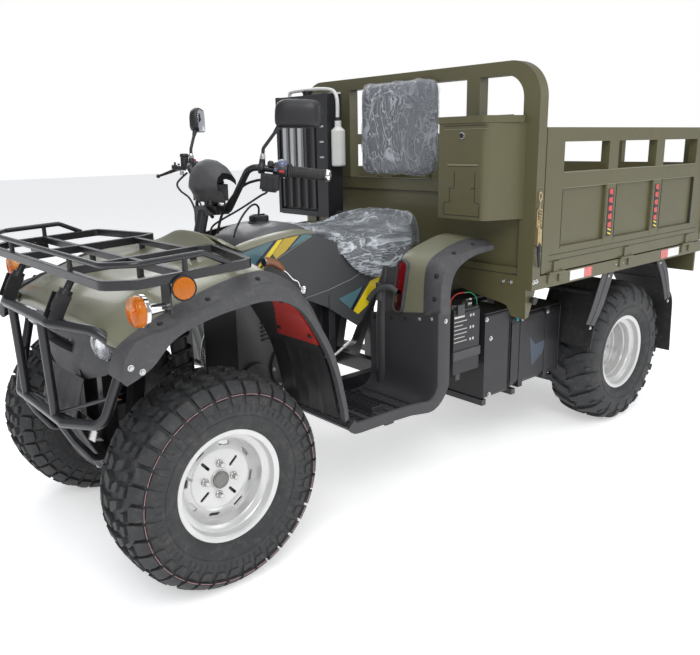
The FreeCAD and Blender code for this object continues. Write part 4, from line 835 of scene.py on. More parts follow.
def bar(shape, points, half_wide, half_tall, mat=0):
    """A square bar swept level along a line."""
    points = [Vector(p) for p in points]
    rings = []
    for i, point in enumerate(points):
        heading = points[min(i + 1, len(points) - 1)] - points[max(i - 1, 0)]
        across = Vector((-heading.y, heading.x, 0)).normalized()
        up = heading.cross(across).normalized()
        rings.append([point + across * half_wide * a + up * half_tall * b
                      for a, b in ((-1, -1), (1, -1), (1, 1), (-1, 1))])
    shape.rings(rings, mat)


RACK_HALF = bent([rack_at(0.29, 0), rack_at(0.29, 0.465), rack_at(0.228, 0.527),
                  rack_at(-0.103, 0.527), rack_at(-0.175, 0.212), rack_at(-0.129, 0.19),
                  rack_at(0.282, 0.19)], [0.045, 0.045, 0.026, 0.018, 0.02], 6)
RAIL_HALF = bent([rack_at(0.29, 0, 0.05), rack_at(0.29, 0.465, 0.05),
                  rack_at(0.228, 0.527, 0.05), rack_at(0.04, 0.527, 0.05),
                  rack_at(-0.04, 0.527, 0.010)], [0.045, 0.045, 0.03], 6)
rack = Shape()
for sign in (1, -1):
    bar(rack, sided(RACK_HALF, sign), 0.009, 0.0125)
    bar(rack, sided([rack_at(0.095, 0.198), rack_at(0.095, 0.52)], sign), 0.009, 0.011)
    for x, y in ((0.29, 0.25), (0.095, 0.527)):
        rack.rod(*sided([rack_at(x, y), rack_at(x, y, 0.05)], sign), 0.0075, 12)
    for x in (0.06, -0.118):
        foot = at(x, sign * 0.18, 0.8785)
        rack.rod(foot, rack_at(x, sign * 0.18, -0.008), 0.0105, 14)
    plate = [rack_at(0.14, 0.482), rack_at(0.14, 0.532), at(0.14, 0.532, 0.858),
             at(0.14, 0.482, 0.858)]
    rack.prism(sided(plate, sign), (0.006, 0, 0))
for x in (-0.1, 0.095):
    bar(rack, [rack_at(x, -0.182), rack_at(x, 0.182)], 0.009, 0.010)
rack.tube(flip(reversed(RAIL_HALF[1:])) + RAIL_HALF, 0.0085, 14)
rack.piece("front_rack_bars", "chassis", ["frame_black"], "frame_black", 35, 0.0016, 2,
           cover=("front_rack",))


# Bumper

WING = [at(*p) for p in [(0.345, 0.190, 0.812), (0.267, 0.352, 0.802), (0.219, 0.384, 0.728),
                         (0.283, 0.350, 0.537), (0.337, 0.190, 0.515), (0.337, 0.09, 0.515)]]
WING_BENDS = [.07, .05, .06, .04, .07]
bumper = Shape()
bumper.tube(bent(flip(reversed(WING)) + WING, WING_BENDS[::-1][:4] + [.04, .04]
                 + WING_BENDS[:4], 8), 0.015, 18)
bumper.rod(at(0.337, -0.10, 0.515), at(0.337, 0.10, 0.515), 0.0147, 18)
for sign in (1, -1):
    bumper.rod(*sided([at(0.345, 0.129, 0.812), at(0.337, 0.129, 0.515)], sign), 0.0135, 16)
    stay = [at(0.339, 0.15, 0.518), at(0.305, 0.16, 0.445), at(0.255, 0.17, 0.37),
            at(0.1803, 0.17, 0.37)]
    bumper.tube(sided(bent(stay, [0.025, 0.03]), sign), 0.012, 14)
    low, high = sided([at(0.345, 0.205, 0.809), rack_at(0.27, 0.205, -0.016)], sign)
    bumper.rod(low, high, 0.0105, 14)
    middle, along = (low + high) / 2, (high - low).normalized()
    bumper.rod(middle - along * 0.034, middle + along * 0.034, 0.019, 18)
    bumper.rod(middle - along * 0.02, middle + along * 0.02, 0.0215, 18)
    brace = [at(0.26, 0.372, 0.62), at(0.329, 0.14, 0.53), at(0.25, 0.12, 0.46)]
    bumper.tube(sided(brace, sign), 0.0055, 10)
bumper.piece("front_bumper_tubes", "chassis", ["frame_black"], "frame_black", 35,
             cover=("front_bumper",))


# Handlebar


ELBOW, BAR_END = at(-0.33, 0.2, 1.21), at(-0.42, 0.289, 1.1936)
BORE = 0.0112            # the hole for the bar in what is clamped to it
ALONG = (BAR_END - ELBOW).normalized()
LIFT = (UP - ALONG * ALONG.z).normalized()
FORE = ALONG.cross(LIFT)


def on_bar(sign, along, fore=0.0, lift=0.0):
    """A point beside the bar's end, in mm from its elbow: outward, forward and up."""
    spot = ELBOW + (ALONG * along + FORE * fore + LIFT * lift) / 1000
    return spot if sign > 0 else Vector((spot.x, -spot.y, spot.z))


def bar_ways(sign):
    """The bar's outward, forward and upward directions."""
    base = on_bar(sign, 0)
    return [on_bar(sign, *way) - base for way in ((1000, 0, 0), (0, 1000, 0), (0, 0, 1000))]


def bar_box(shape, sign, low, high, mat=0):
    """A block between two corners given as outward, forward and up."""
    shape.add([on_bar(sign, *corner) for corner in box_corners(low, high)], BOX_FACES, mat)


def handgrip(shape, sign):
    """Ribbed sleeve with a flange, and a bright cap on its end."""
    axis = bar_ways(sign)[0]
    profile = [(0, BORE), (0, 0.024), (0.003, 0.0252), (0.006, 0.024), (0.009, 0.0178)]
    for k in range(18):
        start = 0.011 + k * 0.0056
        profile += [(start, 0.0178), (start + 0.001, 0.0171), (start + 0.0026, 0.0171),
                    (start + 0.0036, 0.0178)]
    profile += [(0.114, 0.0184), (0.1185, 0.0184), (0.119, BORE)]
    shape.lathe(profile + [profile[0]], on_bar(sign, 128), axis, 40, 0)
    shape.lathe([(0, 0), (0, 0.0182), (0.004, 0.0195), (0.010, 0.0195), (0.0145, 0.017),
                 (0.016, 0.012), (0.0135, 0.009), (0.0135, 0)], on_bar(sign, 247), axis, 40, 1)


def switches(shape, sign):
    """Switch housing with its knobs; the left one has a square relay box below."""
    out, fore, up = bar_ways(sign)
    shape.lathe([(0, BORE), (0, 0.021), (0.003, 0.0235), (0.023, 0.0245), (0.024, 0.0235),
                 (0.025, 0.0245), (0.044, 0.0242), (0.048, 0.021), (0.048, BORE), (0, BORE)],
                on_bar(sign, 79.5), out, 40, 0)
    shape.bolt(on_bar(sign, 92, 12, -20), fore * 0.4 - up, 0.003, 0.003, 2, False)
    shape.bolt(on_bar(sign, 116, 12, -20), fore * 0.4 - up, 0.003, 0.003, 2, False)
    if sign > 0:
        shape.lathe([(-0.004, 0.0), (-0.004, 0.019), (0.006, 0.0185), (0.012, 0.015),
                     (0.0155, 0.008), (0.016, 0)], on_bar(sign, 106, 3, 17), up + fore * 0.3, 28, 1)
        bar_box(shape, sign, (84, 20, -4), (94, 29, 6), 1)
        bar_box(shape, sign, (100, 21, -6), (116, 27, 1), 3)
        bar_box(shape, sign, (45, 12, -64), (103, 38, -14), 0)
        bar_box(shape, sign, (52, 10, -70), (96, 36, -62), 0)
        for k in range(3):
            bar_box(shape, sign, (50 + 18 * k, 37, -60), (62 + 18 * k, 40, -20), 0)
        shape.lathe([(-0.002, 0), (-0.002, 0.0105), (0.008, 0.0100), (0.012, 0.006), (0.012, 0)],
                    on_bar(sign, 70, 14, 14), up + fore * 0.2, 20, 0)
    else:
        shape.lathe([(-0.002, 0), (-0.002, 0.0065), (0.007, 0.006), (0.009, 0.003), (0.009, 0)],
                    on_bar(sign, 92, 4, 23), up, 20, 3)
        bar_box(shape, sign, (100, 18, 0), (116, 28, 8), 3)
        bar_box(shape, sign, (82, 18, -10), (96, 27, 4), 0)


def brake(shape):
    """Master cylinder and lever on the right end, with the hose banjo below."""
    out, fore, up = bar_ways(-1)
    shape.lathe([(0, BORE), (0, 0.0185), (0.002, 0.0195), (0.016, 0.0195), (0.018, 0.0185),
                 (0.018, BORE), (0, BORE)], on_bar(-1, 58), out, 32, 0)
    bar_box(shape, -1, (58, 14, -9), (76, 34, 9), 0)
    shape.lathe([(-0.016, 0.0), (-0.016, 0.0135), (0.028, 0.0145), (0.030, 0.0165),
                 (0.036, 0.0165), (0.040, 0.0145), (0.040, 0.0)], on_bar(-1, 74, 36, 8), up, 32, 0)
    bar_box(shape, -1, (52, 34, -12), (86, 66, 2), 0)
    shape.lathe([(-0.002, 0), (-0.002, 0.010), (0.006, 0.010), (0.008, 0.008), (0.008, 0)],
                on_bar(-1, 78, 55, -2), up, 20, 2)
    shape.lathe([(-0.018, 0), (-0.018, 0.0075), (-0.004, 0.0075), (-0.004, 0)],
                on_bar(-1, 64, 44, -12), up, 12, 2)
    lever = [on_bar(-1, 78, 50, -4), on_bar(-1, 84, 72, -8), on_bar(-1, 88, 98, -16),
             on_bar(-1, 96, 126, -24), on_bar(-1, 98, 146, -30)]
    shape.tube(smooth_line(lever, 5), [0.0085 - 0.0045 * k / 20 for k in range(21)], 14, 0)
    tip = lever[-1]
    shape.lathe([(0.0075 * -math.cos(math.pi * k / 10), 0.0075 * math.sin(math.pi * k / 10))
                 for k in range(11)], tip, fore, 18, 0)
    for along, size in ((50, 8), (94, 6)):
        bar_box(shape, -1, (along, 58, -8), (along + size, 78, 6), 0)
        shape.rod(on_bar(-1, along + 4, 66, 4), on_bar(-1, along + 4, 66, 16), 0.004, 10, 0)


controls = Shape()
for sign in (1, -1):
    switches(controls, sign)
brake(controls)
controls.piece("switches_and_brake", "steering",
               ["black_plastic", "switch_blue", "bright_steel", "signal_red"], "black_plastic", 35,
               0.0012, 2)
sleeves = Shape()
for sign in (1, -1):
    handgrip(sleeves, sign)
sleeves.piece("handgrips", "steering", ["black_rubber", "chrome"], "black_rubber", 40,
              cover=("grips",))
clamps = Shape()
for x in (-0.338, -0.312):
    for y in (-0.027, 0.027):
        clamps.bolt(at(x, y, 1.0785), (0, 0, 1), 0.0055, 0.006)
clamps.piece("bar_clamp_bolts", "steering", ["bright_steel"], "rim_silver", 35, 0.0004, 1)


# Mirrors

MIRROR_LINE = [(-76, -20), (-70, -36), (-50, -44), (56, -44), (72, -34), (75, -20), (75, 14),
               (66, 32), (46, 40), (-30, 44), (-58, 38), (-72, 22)]
MIRROR_DEPTHS = [(-8, 0.90), (-7.5, 0.965), (-4, 1.0), (6, 0.995), (16, 0.93), (23, 0.80),
                 (27, 0.58), (28.5, 0.30), (28.8, 0.06)]
mirrors, glasses = Shape(), Shape()
swing = math.radians(40)
centre = at(-0.45, 0.31, 1.37)
back = Vector((math.cos(swing), math.sin(swing), 0))
across = Vector((-math.sin(swing), math.cos(swing), 0))
line = smooth_line([(u, w, 0) for u, w in MIRROR_LINE], 5, True)
for sign in (1, -1):
    def mirror_ring(depth, share):
        """The shell's outline, shrunk toward the arm's corner as it closes at the back."""
        focus = Vector((-24, -14, 0)) * (1 - share)
        return sided([centre + (across * (p.x * share + focus.x) + UP * (p.y * share + focus.y)
                                + back * depth) / 1000 for p in line], sign)

    mirrors.rings([mirror_ring(*row) for row in MIRROR_DEPTHS])
    glasses.rings([mirror_ring(-9.2, 0.86), mirror_ring(-8.4, 0.885), mirror_ring(-7, 0.885)])
    clasp = on_bar(sign, 31)
    out, fore, up = bar_ways(sign)
    mirrors.lathe([(0, BORE), (0, 0.0175), (0.002, 0.019), (0.016, 0.019), (0.018, 0.0175),
                   (0.018, BORE), (0, BORE)], clasp, out, 32, 0)
    base = on_bar(sign, 40, 0, 15)
    mirrors.lathe([(0, 0), (0, 0.0105), (0.012, 0.0095), (0.013, 0.007), (0.013, 0)], base, up,
                  20, 0)
    mirrors.tube([base + up * 0.013, base + up * 0.022], 0.0095, 6, 1)
    mirrors.lathe([(0.022, 0), (0.022, 0.008), (0.030, 0.0065), (0.032, 0)], base, up, 16, 1)
    corner = centre + (across * -58 + back * 6 - UP * 34) / 1000
    arm = bent([on_bar(1, 40, 0, 20), on_bar(1, 40, 0, 61), corner], [0.014], 8)
    mirrors.tube(sided(arm, sign), 0.0055, 14, 0)
    joint = sided([corner - (arm[-1] - arm[-2]).normalized() * 0.03, corner], sign)
    mirrors.tube(joint + [joint[1] + (joint[1] - joint[0]) * 0.35], [0.0062, 0.0105, 0.008], 16, 0)
mirrors.piece("mirror_shells", "steering", ["black_plastic", "bright_steel"], "black_plastic", 50,
              cover=("mirrors",))
glasses.piece("mirror_glasses", "steering", ["mirror_glass"], "lamp_glass", 30)


# Instrument hood: a smooth dome with a folded brow, and the dial behind it

HOOD_LINE = [(-352, 1168), (-350, 1192), (-338, 1216), (-318, 1229), (-296, 1233), (-272, 1226),
             (-252, 1208), (-240, 1184), (-233, 1160), (-230, 1143), (-238, 1128), (-246, 1112),
             (-252, 1098)]


def hood_station(share, line, inset=0.0):
    """The dome's line at a share of its half width, drawn in and down towards the sides."""
    fall = abs(share) ** 2.2
    low, high = 1130, 1233
    points = []
    for x, z in line:
        tall = max(0.0, (z - low) / (high - low))
        points.append(at((x + fall * (-52 if x > -290 else 6) * (0.35 + 0.65 * (1 - tall))
                          - inset * 0.6) / 1000, share * (0.088 - inset / 1000),
                         (z - fall * (40 * tall + 4) - inset) / 1000))
    return points


pod = Shape()
stations = [-1 + 2 * k / 24 for k in range(25)]
pod.rings([hood_station(s, HOOD_LINE) + hood_station(s * 0.97, HOOD_LINE, 4)[::-1]
           for s in stations])
# the dial and the housing under the dome
tilt = Vector((-0.62, 0, 0.78))
pod.lathe([(-0.05, 0), (-0.05, 0.030), (-0.02, 0.046), (0.012, 0.048), (0.014, 0.046),
           (0.010, 0.042), (0.010, 0)], at(-0.300, 0, 1.168), tilt, 44, 1)
pod.box(at(-0.335, -0.055, 1.095), at(-0.262, 0.055, 1.150), 1)
pod.box(at(-0.318, -0.018, 1.078), at(-0.282, 0.018, 1.12), 1)
for y in (-0.045, 0.045):
    pod.rod(at(-0.28, y, 1.105), at(-0.262, y * 0.9, 1.155), 0.014, 16, 1)
for y, drop in ((-0.03, 1.03), (0.028, 1.04), (0.05, 1.055)):
    pod.tube(smooth_line([at(-0.27, y, 1.10), at(-0.262, y * 1.1, 1.085), at(-0.27, y, drop + 0.02),
                          at(-0.29, y * 0.7, drop)], 5), 0.006, 10, 1)
pod.piece("instrument_hood", "steering", ["grey_plastic", "black_plastic"], "black_plastic", 40,
          0.0008, 2, cover=("instrument_pod",))
dial = Shape()
dial.lathe([(0.0102, 0), (0.0102, 0.0415), (0.0112, 0.0415), (0.0112, 0)], at(-0.300, 0, 1.168),
           tilt, 44, 0)
dial.piece("dial_glass", "steering", ["dial_face"], "lamp_glass", 40)


# Cables and hoses from the bar down to the neck


def control_cable(name, points, diameter, mat="hose_black", blend=True):
    """A cable or hose along points. With blend it rides on no body; without, on the chassis."""
    path = smooth_line([Vector(p) if isinstance(p, Vector) else at(*p) for p in points], 8)
    hose = Shape()
    hose.tube(path, diameter / 2, 12)
    data = bpy.data.meshes.new(name)
    data.from_pydata([tuple(v) for v in hose.verts], [], hose.faces)
    data.materials.append(MATS[mat])
    soften(data)
    item = show(name, data)
    if blend:
        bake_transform(item)
    else:
        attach(item, "chassis")
    return item


control_cable("brake_hose", [
    on_bar(-1, 82, 30, -20), (-0.318, -0.268, 1.145), (-0.318, -0.25, 1.118),
    (-0.325, -0.20, 1.093), (-0.30, -0.12, 1.058), (-0.268, -0.06, 1.022),
    (-0.262, -0.045, 0.99)], 0.0075)
control_cable("throttle_cable", [
    on_bar(-1, 80, -10, -24), (-0.355, -0.215, 1.13), (-0.335, -0.15, 1.09),
    (-0.31, -0.08, 1.05), (-0.285, -0.035, 0.985)], 0.006)
control_cable("clutch_cable", [
    on_bar(1, 88, 20, -30), (-0.372, 0.248, 1.145), (-0.369, 0.23, 1.126),
    (-0.362, 0.205, 1.115), (-0.331, 0.13, 1.071), (-0.295, 0.07, 1.035),
    (-0.272, 0.045, 1.012), (-0.262, 0.04, 0.985)], 0.0068)
control_cable("switch_cable", [
    on_bar(1, 62, -8, -18), (-0.362, 0.225, 1.168), (-0.355, 0.20, 1.165),
    (-0.341, 0.15, 1.150), (-0.322, 0.10, 1.110), (-0.309, 0.05, 1.050),
    (-0.298, 0.03, 0.985)], 0.009)


# Nose: fascia, skid plate and brackets


def follow(table, value):
    """Straight steps between (value, result) pairs."""
    for (a, low), (b, high) in zip(table, table[1:]):
        if value <= b:
            return low + (high - low) * max(0, value - a) / (b - a)
    return table[-1][1]


def paint(shape, rule):
    """Give each face the material that the rule finds at its middle."""
    for k, face in enumerate(shape.faces):
        points = [Vector(shape.verts[i]) for i in face]
        middle = sum(points, Vector()) / len(points)
        shape.index[k] = rule(middle, shape.index[k])


FASCIA_LOW = [(0, 0.606), (0.13, 0.608), (0.25, 0.645), (0.33, 0.690), (0.354, 0.712)]
FASCIA_HIGH = [(0, 0.826), (0.15, 0.824), (0.30, 0.806), (0.345, 0.795), (0.354, 0.780)]
SHIELD = [(0.60, 0.085), (0.655, 0.110), (0.69, 0.150), (0.78, 0.250), (0.83, 0.275)]


def fascia_depth(y, z):
    """How far forward the fascia stands: a rounded nose with a raised shield at its middle."""
    wide = abs(y)
    depth = 0.252 - 0.052 * (wide / 0.354) ** 2.3 - 0.018 * max(0, (0.68 - z) / 0.08) ** 2
    rise = min(1, max(0, (follow(SHIELD, z) - wide) / 0.014))
    depth += 0.013 * rise * rise * (3 - 2 * rise)
    return depth - 0.03 * max(0, (z - 0.775) / 0.05) ** 2


LAMP_Y, LAMP_Z = 0.282, 0.752
FASCIA_HALF = 0.354
fascia = Shape()
rows = []
for y in [FASCIA_HALF * (k / 30) for k in range(-30, 31)]:
    low, high = follow(FASCIA_LOW, abs(y)), follow(FASCIA_HIGH, abs(y))
    heights = [low + (high - low) * k / 22 for k in range(23)]
    front = [at(fascia_depth(y, z), y, z) for z in heights]
    rows.append(front + [p - Vector((0.006, 0, 0)) for p in reversed(front)])
fascia.rings(rows)
shell = fascia.piece("fascia", "chassis", ["grey_plastic"], "grey_plastic", 40,
                     cover=("front_cowl",))
openings = Shape()
for sign in (1, -1):
    openings.lathe([(-0.08, 0), (-0.08, 0.053), (0.08, 0.055), (0.08, 0)],
                   at(0.235, sign * LAMP_Y, LAMP_Z), (1, 0, 0), 48)
mouth = [(-0.108, 0.692), (0.108, 0.692), (0.128, 0.722), (0.118, 0.730), (-0.118, 0.730),
         (-0.128, 0.722)]
openings.prism([at(0.22, y, z) for y, z in mouth], (0.07, 0, 0))
carve(shell, openings)

nose = Shape()
# pocket behind the mouth with its screws, and the blank disc above it
pocket = [[at(0.262, y, z) for y, z in mouth],
          [at(0.232, y * 0.92, 0.712 + (z - 0.712) * 0.8) for y, z in mouth]]
outer_pocket = [[p + Vector((0, 0.003 * (1 if p.y > 0 else -1), 0.003 * (1 if p.z > 0.712 else -1)))
                 for p in ring] for ring in pocket]
nose.rings(outer_pocket[:1] + pocket + [[p - Vector((0.004, 0, 0)) for p in outer_pocket[1]]],
           0, (False, True))
nose.rings([pocket[1], [p - Vector((0.003, 0, 0)) for p in pocket[1]]], 0)
for y in (0.03, -0.07):
    nose.bolt(at(0.233, y, 0.711), (1, 0, 0), 0.0055, 0.004, 1)
nose.lathe([(-0.006, 0), (-0.006, 0.031), (0.002, 0.0305), (0.004, 0.0275), (0.002, 0.025),
            (0.003, 0)], at(0.261, 0, 0.768), (1, 0, 0.12), 48, 0)
for sign in (1, -1):
    # lamp housing tunnel and the clear corner lamp above it
    nose.lathe([(-0.05, 0.0565), (0.030, 0.058), (0.030, 0.0535), (-0.05, 0.0525),
                (-0.05, 0.0565)], at(0.195, sign * LAMP_Y, LAMP_Z), (1, 0, 0), 48, 0)
    wedge = [at(0.222, sign * 0.325, 0.798), at(0.214, sign * 0.352, 0.796),
             at(0.202, sign * 0.372, 0.778), at(0.198, sign * 0.362, 0.762),
             at(0.214, sign * 0.335, 0.776)]
    nose.prism(wedge, (0.014, sign * 0.006, 0), 2)
    nose.bolt(at(0.214, sign * 0.315, 0.700), (1, sign * 0.4, 0), 0.005, 0.003, 1)
nose.piece("fascia_details", "chassis", ["grey_plastic", "bright_steel", "lamp_glass"],
           "grey_plastic", 35, 0.0006, 2)

# skid plate: pressed ribs along a sheet that curves back under the nose
SKID = bent([at(0.250, 0, 0.615), at(0.300, 0, 0.470), at(0.215, 0, 0.290), at(-0.040, 0, 0.225)],
            [0.09, 0.09], 10)
skid = Shape()
rows = []
for i, point in enumerate(SKID):
    ahead_way = (SKID[min(i + 1, len(SKID) - 1)] - SKID[max(i - 1, 0)]).normalized()
    out = Vector((-ahead_way.z, 0, ahead_way.x))
    share = i / (len(SKID) - 1)
    line = []
    for k in range(57):
        y = -0.14 + 0.28 * k / 56
        near = min(abs(y - c) for c in (-0.098, -0.034, 0.034, 0.098))
        rise = max(0, min(1, (0.017 - near) / 0.008))
        lift = 0.007 * rise * rise * (3 - 2 * rise) * min(1, share * 8, (1 - share) * 8)
        bow = 0.018 * (y / 0.14) ** 2 * min(1, share * 4)
        line.append(point + Vector((0, y, 0)) + out * (lift - bow))
    rows.append(line + [p - out * 0.004 for p in reversed(line)])
skid.rings(rows)
for sign in (1, -1):
    for where in (8, 17):
        spot = SKID[where]
        skid.bolt(spot + Vector((-0.002, sign * 0.066, 0)), (1, 0, -0.4), 0.006, 0.004, 1)
plate_line = [at(0.252, y, z) for y, z in ((0.05, 0.505), (0.20, 0.50), (0.215, 0.47),
                                         (0.19, 0.43), (0.06, 0.42), (0.045, 0.45))]
skid.prism(plate_line, (0.003, 0, 0), 1)
# two slots in the silver plate drawn as thin black patches: painted shade in the openings
for y in (0.085, 0.15):
    slot_line = [at(0.2552, y + a, 0.465 + b)
                 for a, b in ((-0.02, 0), (-0.014, 0.012), (0.014, 0.012), (0.02, 0),
                              (0.014, -0.012), (-0.014, -0.012))]
    skid.prism(slot_line, (0.0008, 0, 0), 2)
skid.piece("skid_plate", "chassis", ["grey_plastic", "bright_steel", "black_plastic"],
           "grey_plastic", 40)
braces = Shape()
braces.box(at(0.186, -0.11, 0.604), at(0.246, -0.05, 0.634), 0)
braces.box(at(0.186, 0.05, 0.604), at(0.246, 0.11, 0.634), 0)
braces.box(at(0.205, -0.100, 0.602), at(0.236, 0.100, 0.630), 0)
# folded brackets between the bumper and the rack
for sign in (1, -1):
    low, high = at(0.345, sign * 0.205, 0.815), rack_at(0.282, sign * 0.205, -0.004)
    axis = (high - low).normalized()
    out = Vector((0, 1, 0)).cross(axis) * -1
    half, thick, tall = 0.022, 0.003, axis * 0.075
    corner = [low - Vector((0, half, 0)), low + Vector((0, half, 0)),
              low + tall + Vector((0, half, 0)), low + tall - Vector((0, half, 0))]
    braces.prism([p + out * 0.020 + axis * 0.01 for p in corner], out * thick)
    for y in (-half, half - thick):
        start = low + Vector((0, y, 0)) + axis * 0.01
        wall = [start - out * 0.016, start + out * 0.022, start + out * 0.022 + tall,
                start - out * 0.016 + tall]
        braces.prism(wall, (0, thick, 0))
    for along in (0.025, 0.068):
        braces.bolt(low + axis * along + out * 0.023, out, 0.006, 0.005, 0)
braces.piece("nose_braces", "chassis", ["frame_black"], "frame_black", 35, 0.0008, 2)


# Lamps

lamps = Shape()
for sign in (1, -1):
    spot = at(0.186, sign * LAMP_Y, LAMP_Z)
    lamps.lathe([(0.0, 0.006), (0.004, 0.022), (0.016, 0.037), (0.034, 0.0475), (0.046, 0.0515),
                 (0.048, 0.0525), (0.046, 0.0485), (0.034, 0.0445), (0.016, 0.034),
                 (0.005, 0.019), (0.002, 0.006), (0.0, 0.006)], spot, (1, 0, 0), 56, 0)
    lamps.lathe([(0.002, 0), (0.002, 0.008), (0.022, 0.006), (0.030, 0.0045), (0.034, 0)], spot,
                (1, 0, 0), 20, 3)
    for k in range(6):
        turn = math.pi / 3 * k
        foot = spot + Vector((0.012, math.cos(turn) * 0.028, math.sin(turn) * 0.028))
        lamps.rod(foot, foot + Vector((0.020, math.cos(turn) * 0.012, math.sin(turn) * 0.012)),
                  0.003, 8, 0)
    lamps.lathe([(0.0475, 0), (0.0475, 0.0505), (0.052, 0.0515), (0.060, 0.047), (0.070, 0.034),
                 (0.077, 0.016), (0.078, 0)], spot, (1, 0, 0), 56, 1)
lamps.piece("headlamp_units", "chassis", ["chrome", "lamp_glass", "grey_plastic", "white_plastic"],
            "lamp_glass", 30, cover=("headlamps",))

signals = Shape()
for sign in (1, -1):
    spot = at(0.1462, sign * 0.5, 0.874)
    signals.lathe([(0, 0), (0, 0.0112), (0.004, 0.0118), (0.046, 0.0160), (0.050, 0.022),
                   (0.054, 0.037), (0.058, 0.0425), (0.066, 0.0432), (0.0685, 0.0425),
                   (0.0685, 0.0)], spot, (1, 0, 0), 56, 0)
    lens = Shape()
    lens.lathe([(0.068, 0), (0.068, 0.0405), (0.072, 0.0418), (0.081, 0.0415), (0.0865, 0.0385),
                (0.090, 0.033), (0.092, 0.022), (0.0932, 0.010), (0.0935, 0)], spot, (1, 0, 0),
               72, 1)
    for k in range(6):
        ring = 0.008 + 0.0055 * k
        rise = 0.0932 - 0.0042 * (ring / 0.038) ** 3
        circle = [spot + Vector((rise, ring * math.cos(2 * math.pi * j / 36),
                                 ring * math.sin(2 * math.pi * j / 36))) for j in range(37)]
        lens.tube(circle, 0.0011, 6, 1, (False, False))
    # the upper part of each lens in paler amber: painted highlight
    paint(lens, lambda p, mat: 2 if p.z > spot.z + 0.004 and (p.y - spot.y) * sign < 0.012
          else mat)
    for mat in (1, 2):
        faces = [f for f, m in zip(lens.faces, lens.index) if m == mat]
        signals.add(lens.verts, faces, mat)
    disc = at(0.111, sign * 0.5408, 0.925)
    axis = Vector((0.18, sign, 0.02))
    signals.lathe([(0, 0), (0, 0.0325), (0.005, 0.034), (0.0085, 0.033), (0.0085, 0.0305),
                   (0.006, 0.030), (0.006, 0)], disc, axis, 56, 3)
    signals.lathe([(0.006, 0), (0.006, 0.030), (0.0085, 0.0290), (0.0105, 0.022), (0.0112, 0)],
                  disc, axis, 56, 1)
    out = axis.normalized()
    spin = out.to_track_quat("Z", "Y")
    for k in range(5):
        ring = 0.005 + 0.005 * k
        circle = [disc + out * (0.0108 - 0.0008 * k * k / 8) + spin @ Vector(
            (math.cos(2 * math.pi * j / 32), math.sin(2 * math.pi * j / 32), 0)) * ring
                  for j in range(33)]
        signals.tube(circle, 0.0008, 6, 1, (False, False))
    signals.rod(disc - Vector((0, sign * 0.012, 0)), disc, 0.009, 14, 3)
signals.piece("signal_lamps", "chassis", ["chrome", "amber_lens", "amber_lamp_and_painted_highlight", "black_plastic"],
              "amber_lens", 30, cover=("turn_lamps",))


# Inner guards: black liners with a red panel at the outer side of their upper half

guards = Shape()
GUARD_IN, GUARD_OUT = 0.1905, 0.485
for sign in (1, -1):
    rings = []
    for row in spread([r for r in FENDER if r[0] >= 107], 64):
        angle, edge = row[:2]
        if angle < 108:
            continue
        over, under = [], []
        for k in range(28):
            y = GUARD_IN + (GUARD_OUT - GUARD_IN) * k / 27
            wave = 2.5 if (angle > 141 and k % 6 in (2, 3) and 3 < k < 25) else 0
            over.append(around(angle, edge + 3 - wave, y * 1000))
            under.append(around(angle, edge + 8, y * 1000))
        rings.append(sided(over + under[::-1], sign))
    guards.rings(rings)


def guard_colour(point, mat):
    angle = math.degrees(math.atan2(point.z - WHEEL_RADIUS, point.x - AXLE))
    reach = min(1, max(0, (angle - 110) / 26)) ** 0.7
    return 1 if angle < 137 and abs(point.y) > GUARD_OUT - 0.215 * reach else 0


paint(guards, guard_colour)
for sign in (1, -1):
    for angle, y in ((133.5, 0.30), (133.5, 0.465), (116, 0.47)):
        edge = between(FENDER, angle)[1]
        spot, over = sided([around(angle, edge + 3, y * 1000), around(angle, edge - 20, y * 1000)],
                           sign)
        guards.bolt(spot, over - spot, 0.007, 0.004, 0)
guards.piece("wheel_liners", "chassis", ["black_plastic", "red_plastic"], "red_plastic", 40,
             cover=("inner_guards",))


# Tank cover, side covers, saddle and back pad


TANK = [(-354, 900, 120), (-352, 935, 138), (-362, 960, 146), (-385, 980, 149), (-420, 996, 150),
        (-460, 1006, 150), (-500, 1008, 150), (-545, 1006, 150), (-590, 998, 150),
        (-622, 984, 149), (-640, 962, 145), (-648, 925, 140)]


def rounded_over(x, top, half, base, fullness=3.2, count=28):
    """A section across the vehicle: upright sides that roll into a crowned top."""
    side_top = base + (top - base) * 0.35
    ring = [(half * 0.99, base), (half, mix(base, side_top, 0.6))]
    for k in range(count + 1):
        turn = math.pi * k / count
        c, s = math.cos(turn), math.sin(turn)
        ring.append((half * abs(c) ** (2 / fullness) * (1 if c >= 0 else -1),
                     side_top + (top - side_top) * abs(s) ** (2 / fullness)))
    ring += [(-half, mix(base, side_top, 0.6)), (-half * 0.99, base)]
    return [at(x / 1000, y / 1000, z / 1000) for y, z in ring]


tank = Shape()
tank_line = smooth_line(TANK, 4)
tank.rings([rounded_over(p.x, p.y, p.z, 864.5) for p in tank_line])
tank.piece("tank_shell", "chassis", ["tank_grey"], "grey_plastic", 45, cover=("tank_cover",))

cap = Shape()
cap_spot = at(-0.490, 0, 1.0082)
cap.lathe([(0, 0), (0, 0.0345), (0.003, 0.0355), (0.005, 0.0335), (0.019, 0.0335),
           (0.0225, 0.0315), (0.0235, 0.027), (0.0215, 0.024), (0.0225, 0.0)], cap_spot,
          (0, 0, 1), 64, 0)
for k in range(20):
    turn = 2 * math.pi * k / 20
    out = Vector((math.cos(turn), math.sin(turn), 0))
    foot = cap_spot + out * 0.0335 + UP * 0.004
    cap.rod(foot, foot + UP * 0.0145, 0.0021, 8, 0)
cap.box(cap_spot + Vector((-0.024, -0.004, 0.022)), cap_spot + Vector((0.024, 0.004, 0.027)), 0)
cap.lathe([(-0.002, 0), (-0.002, 0.041), (0.0005, 0.041), (0.0005, 0)], cap_spot, (0, 0, 1), 48, 1)
cap.rod(cap_spot + UP * 0.02, cap_spot + UP * 0.031, 0.0035, 14, 1)
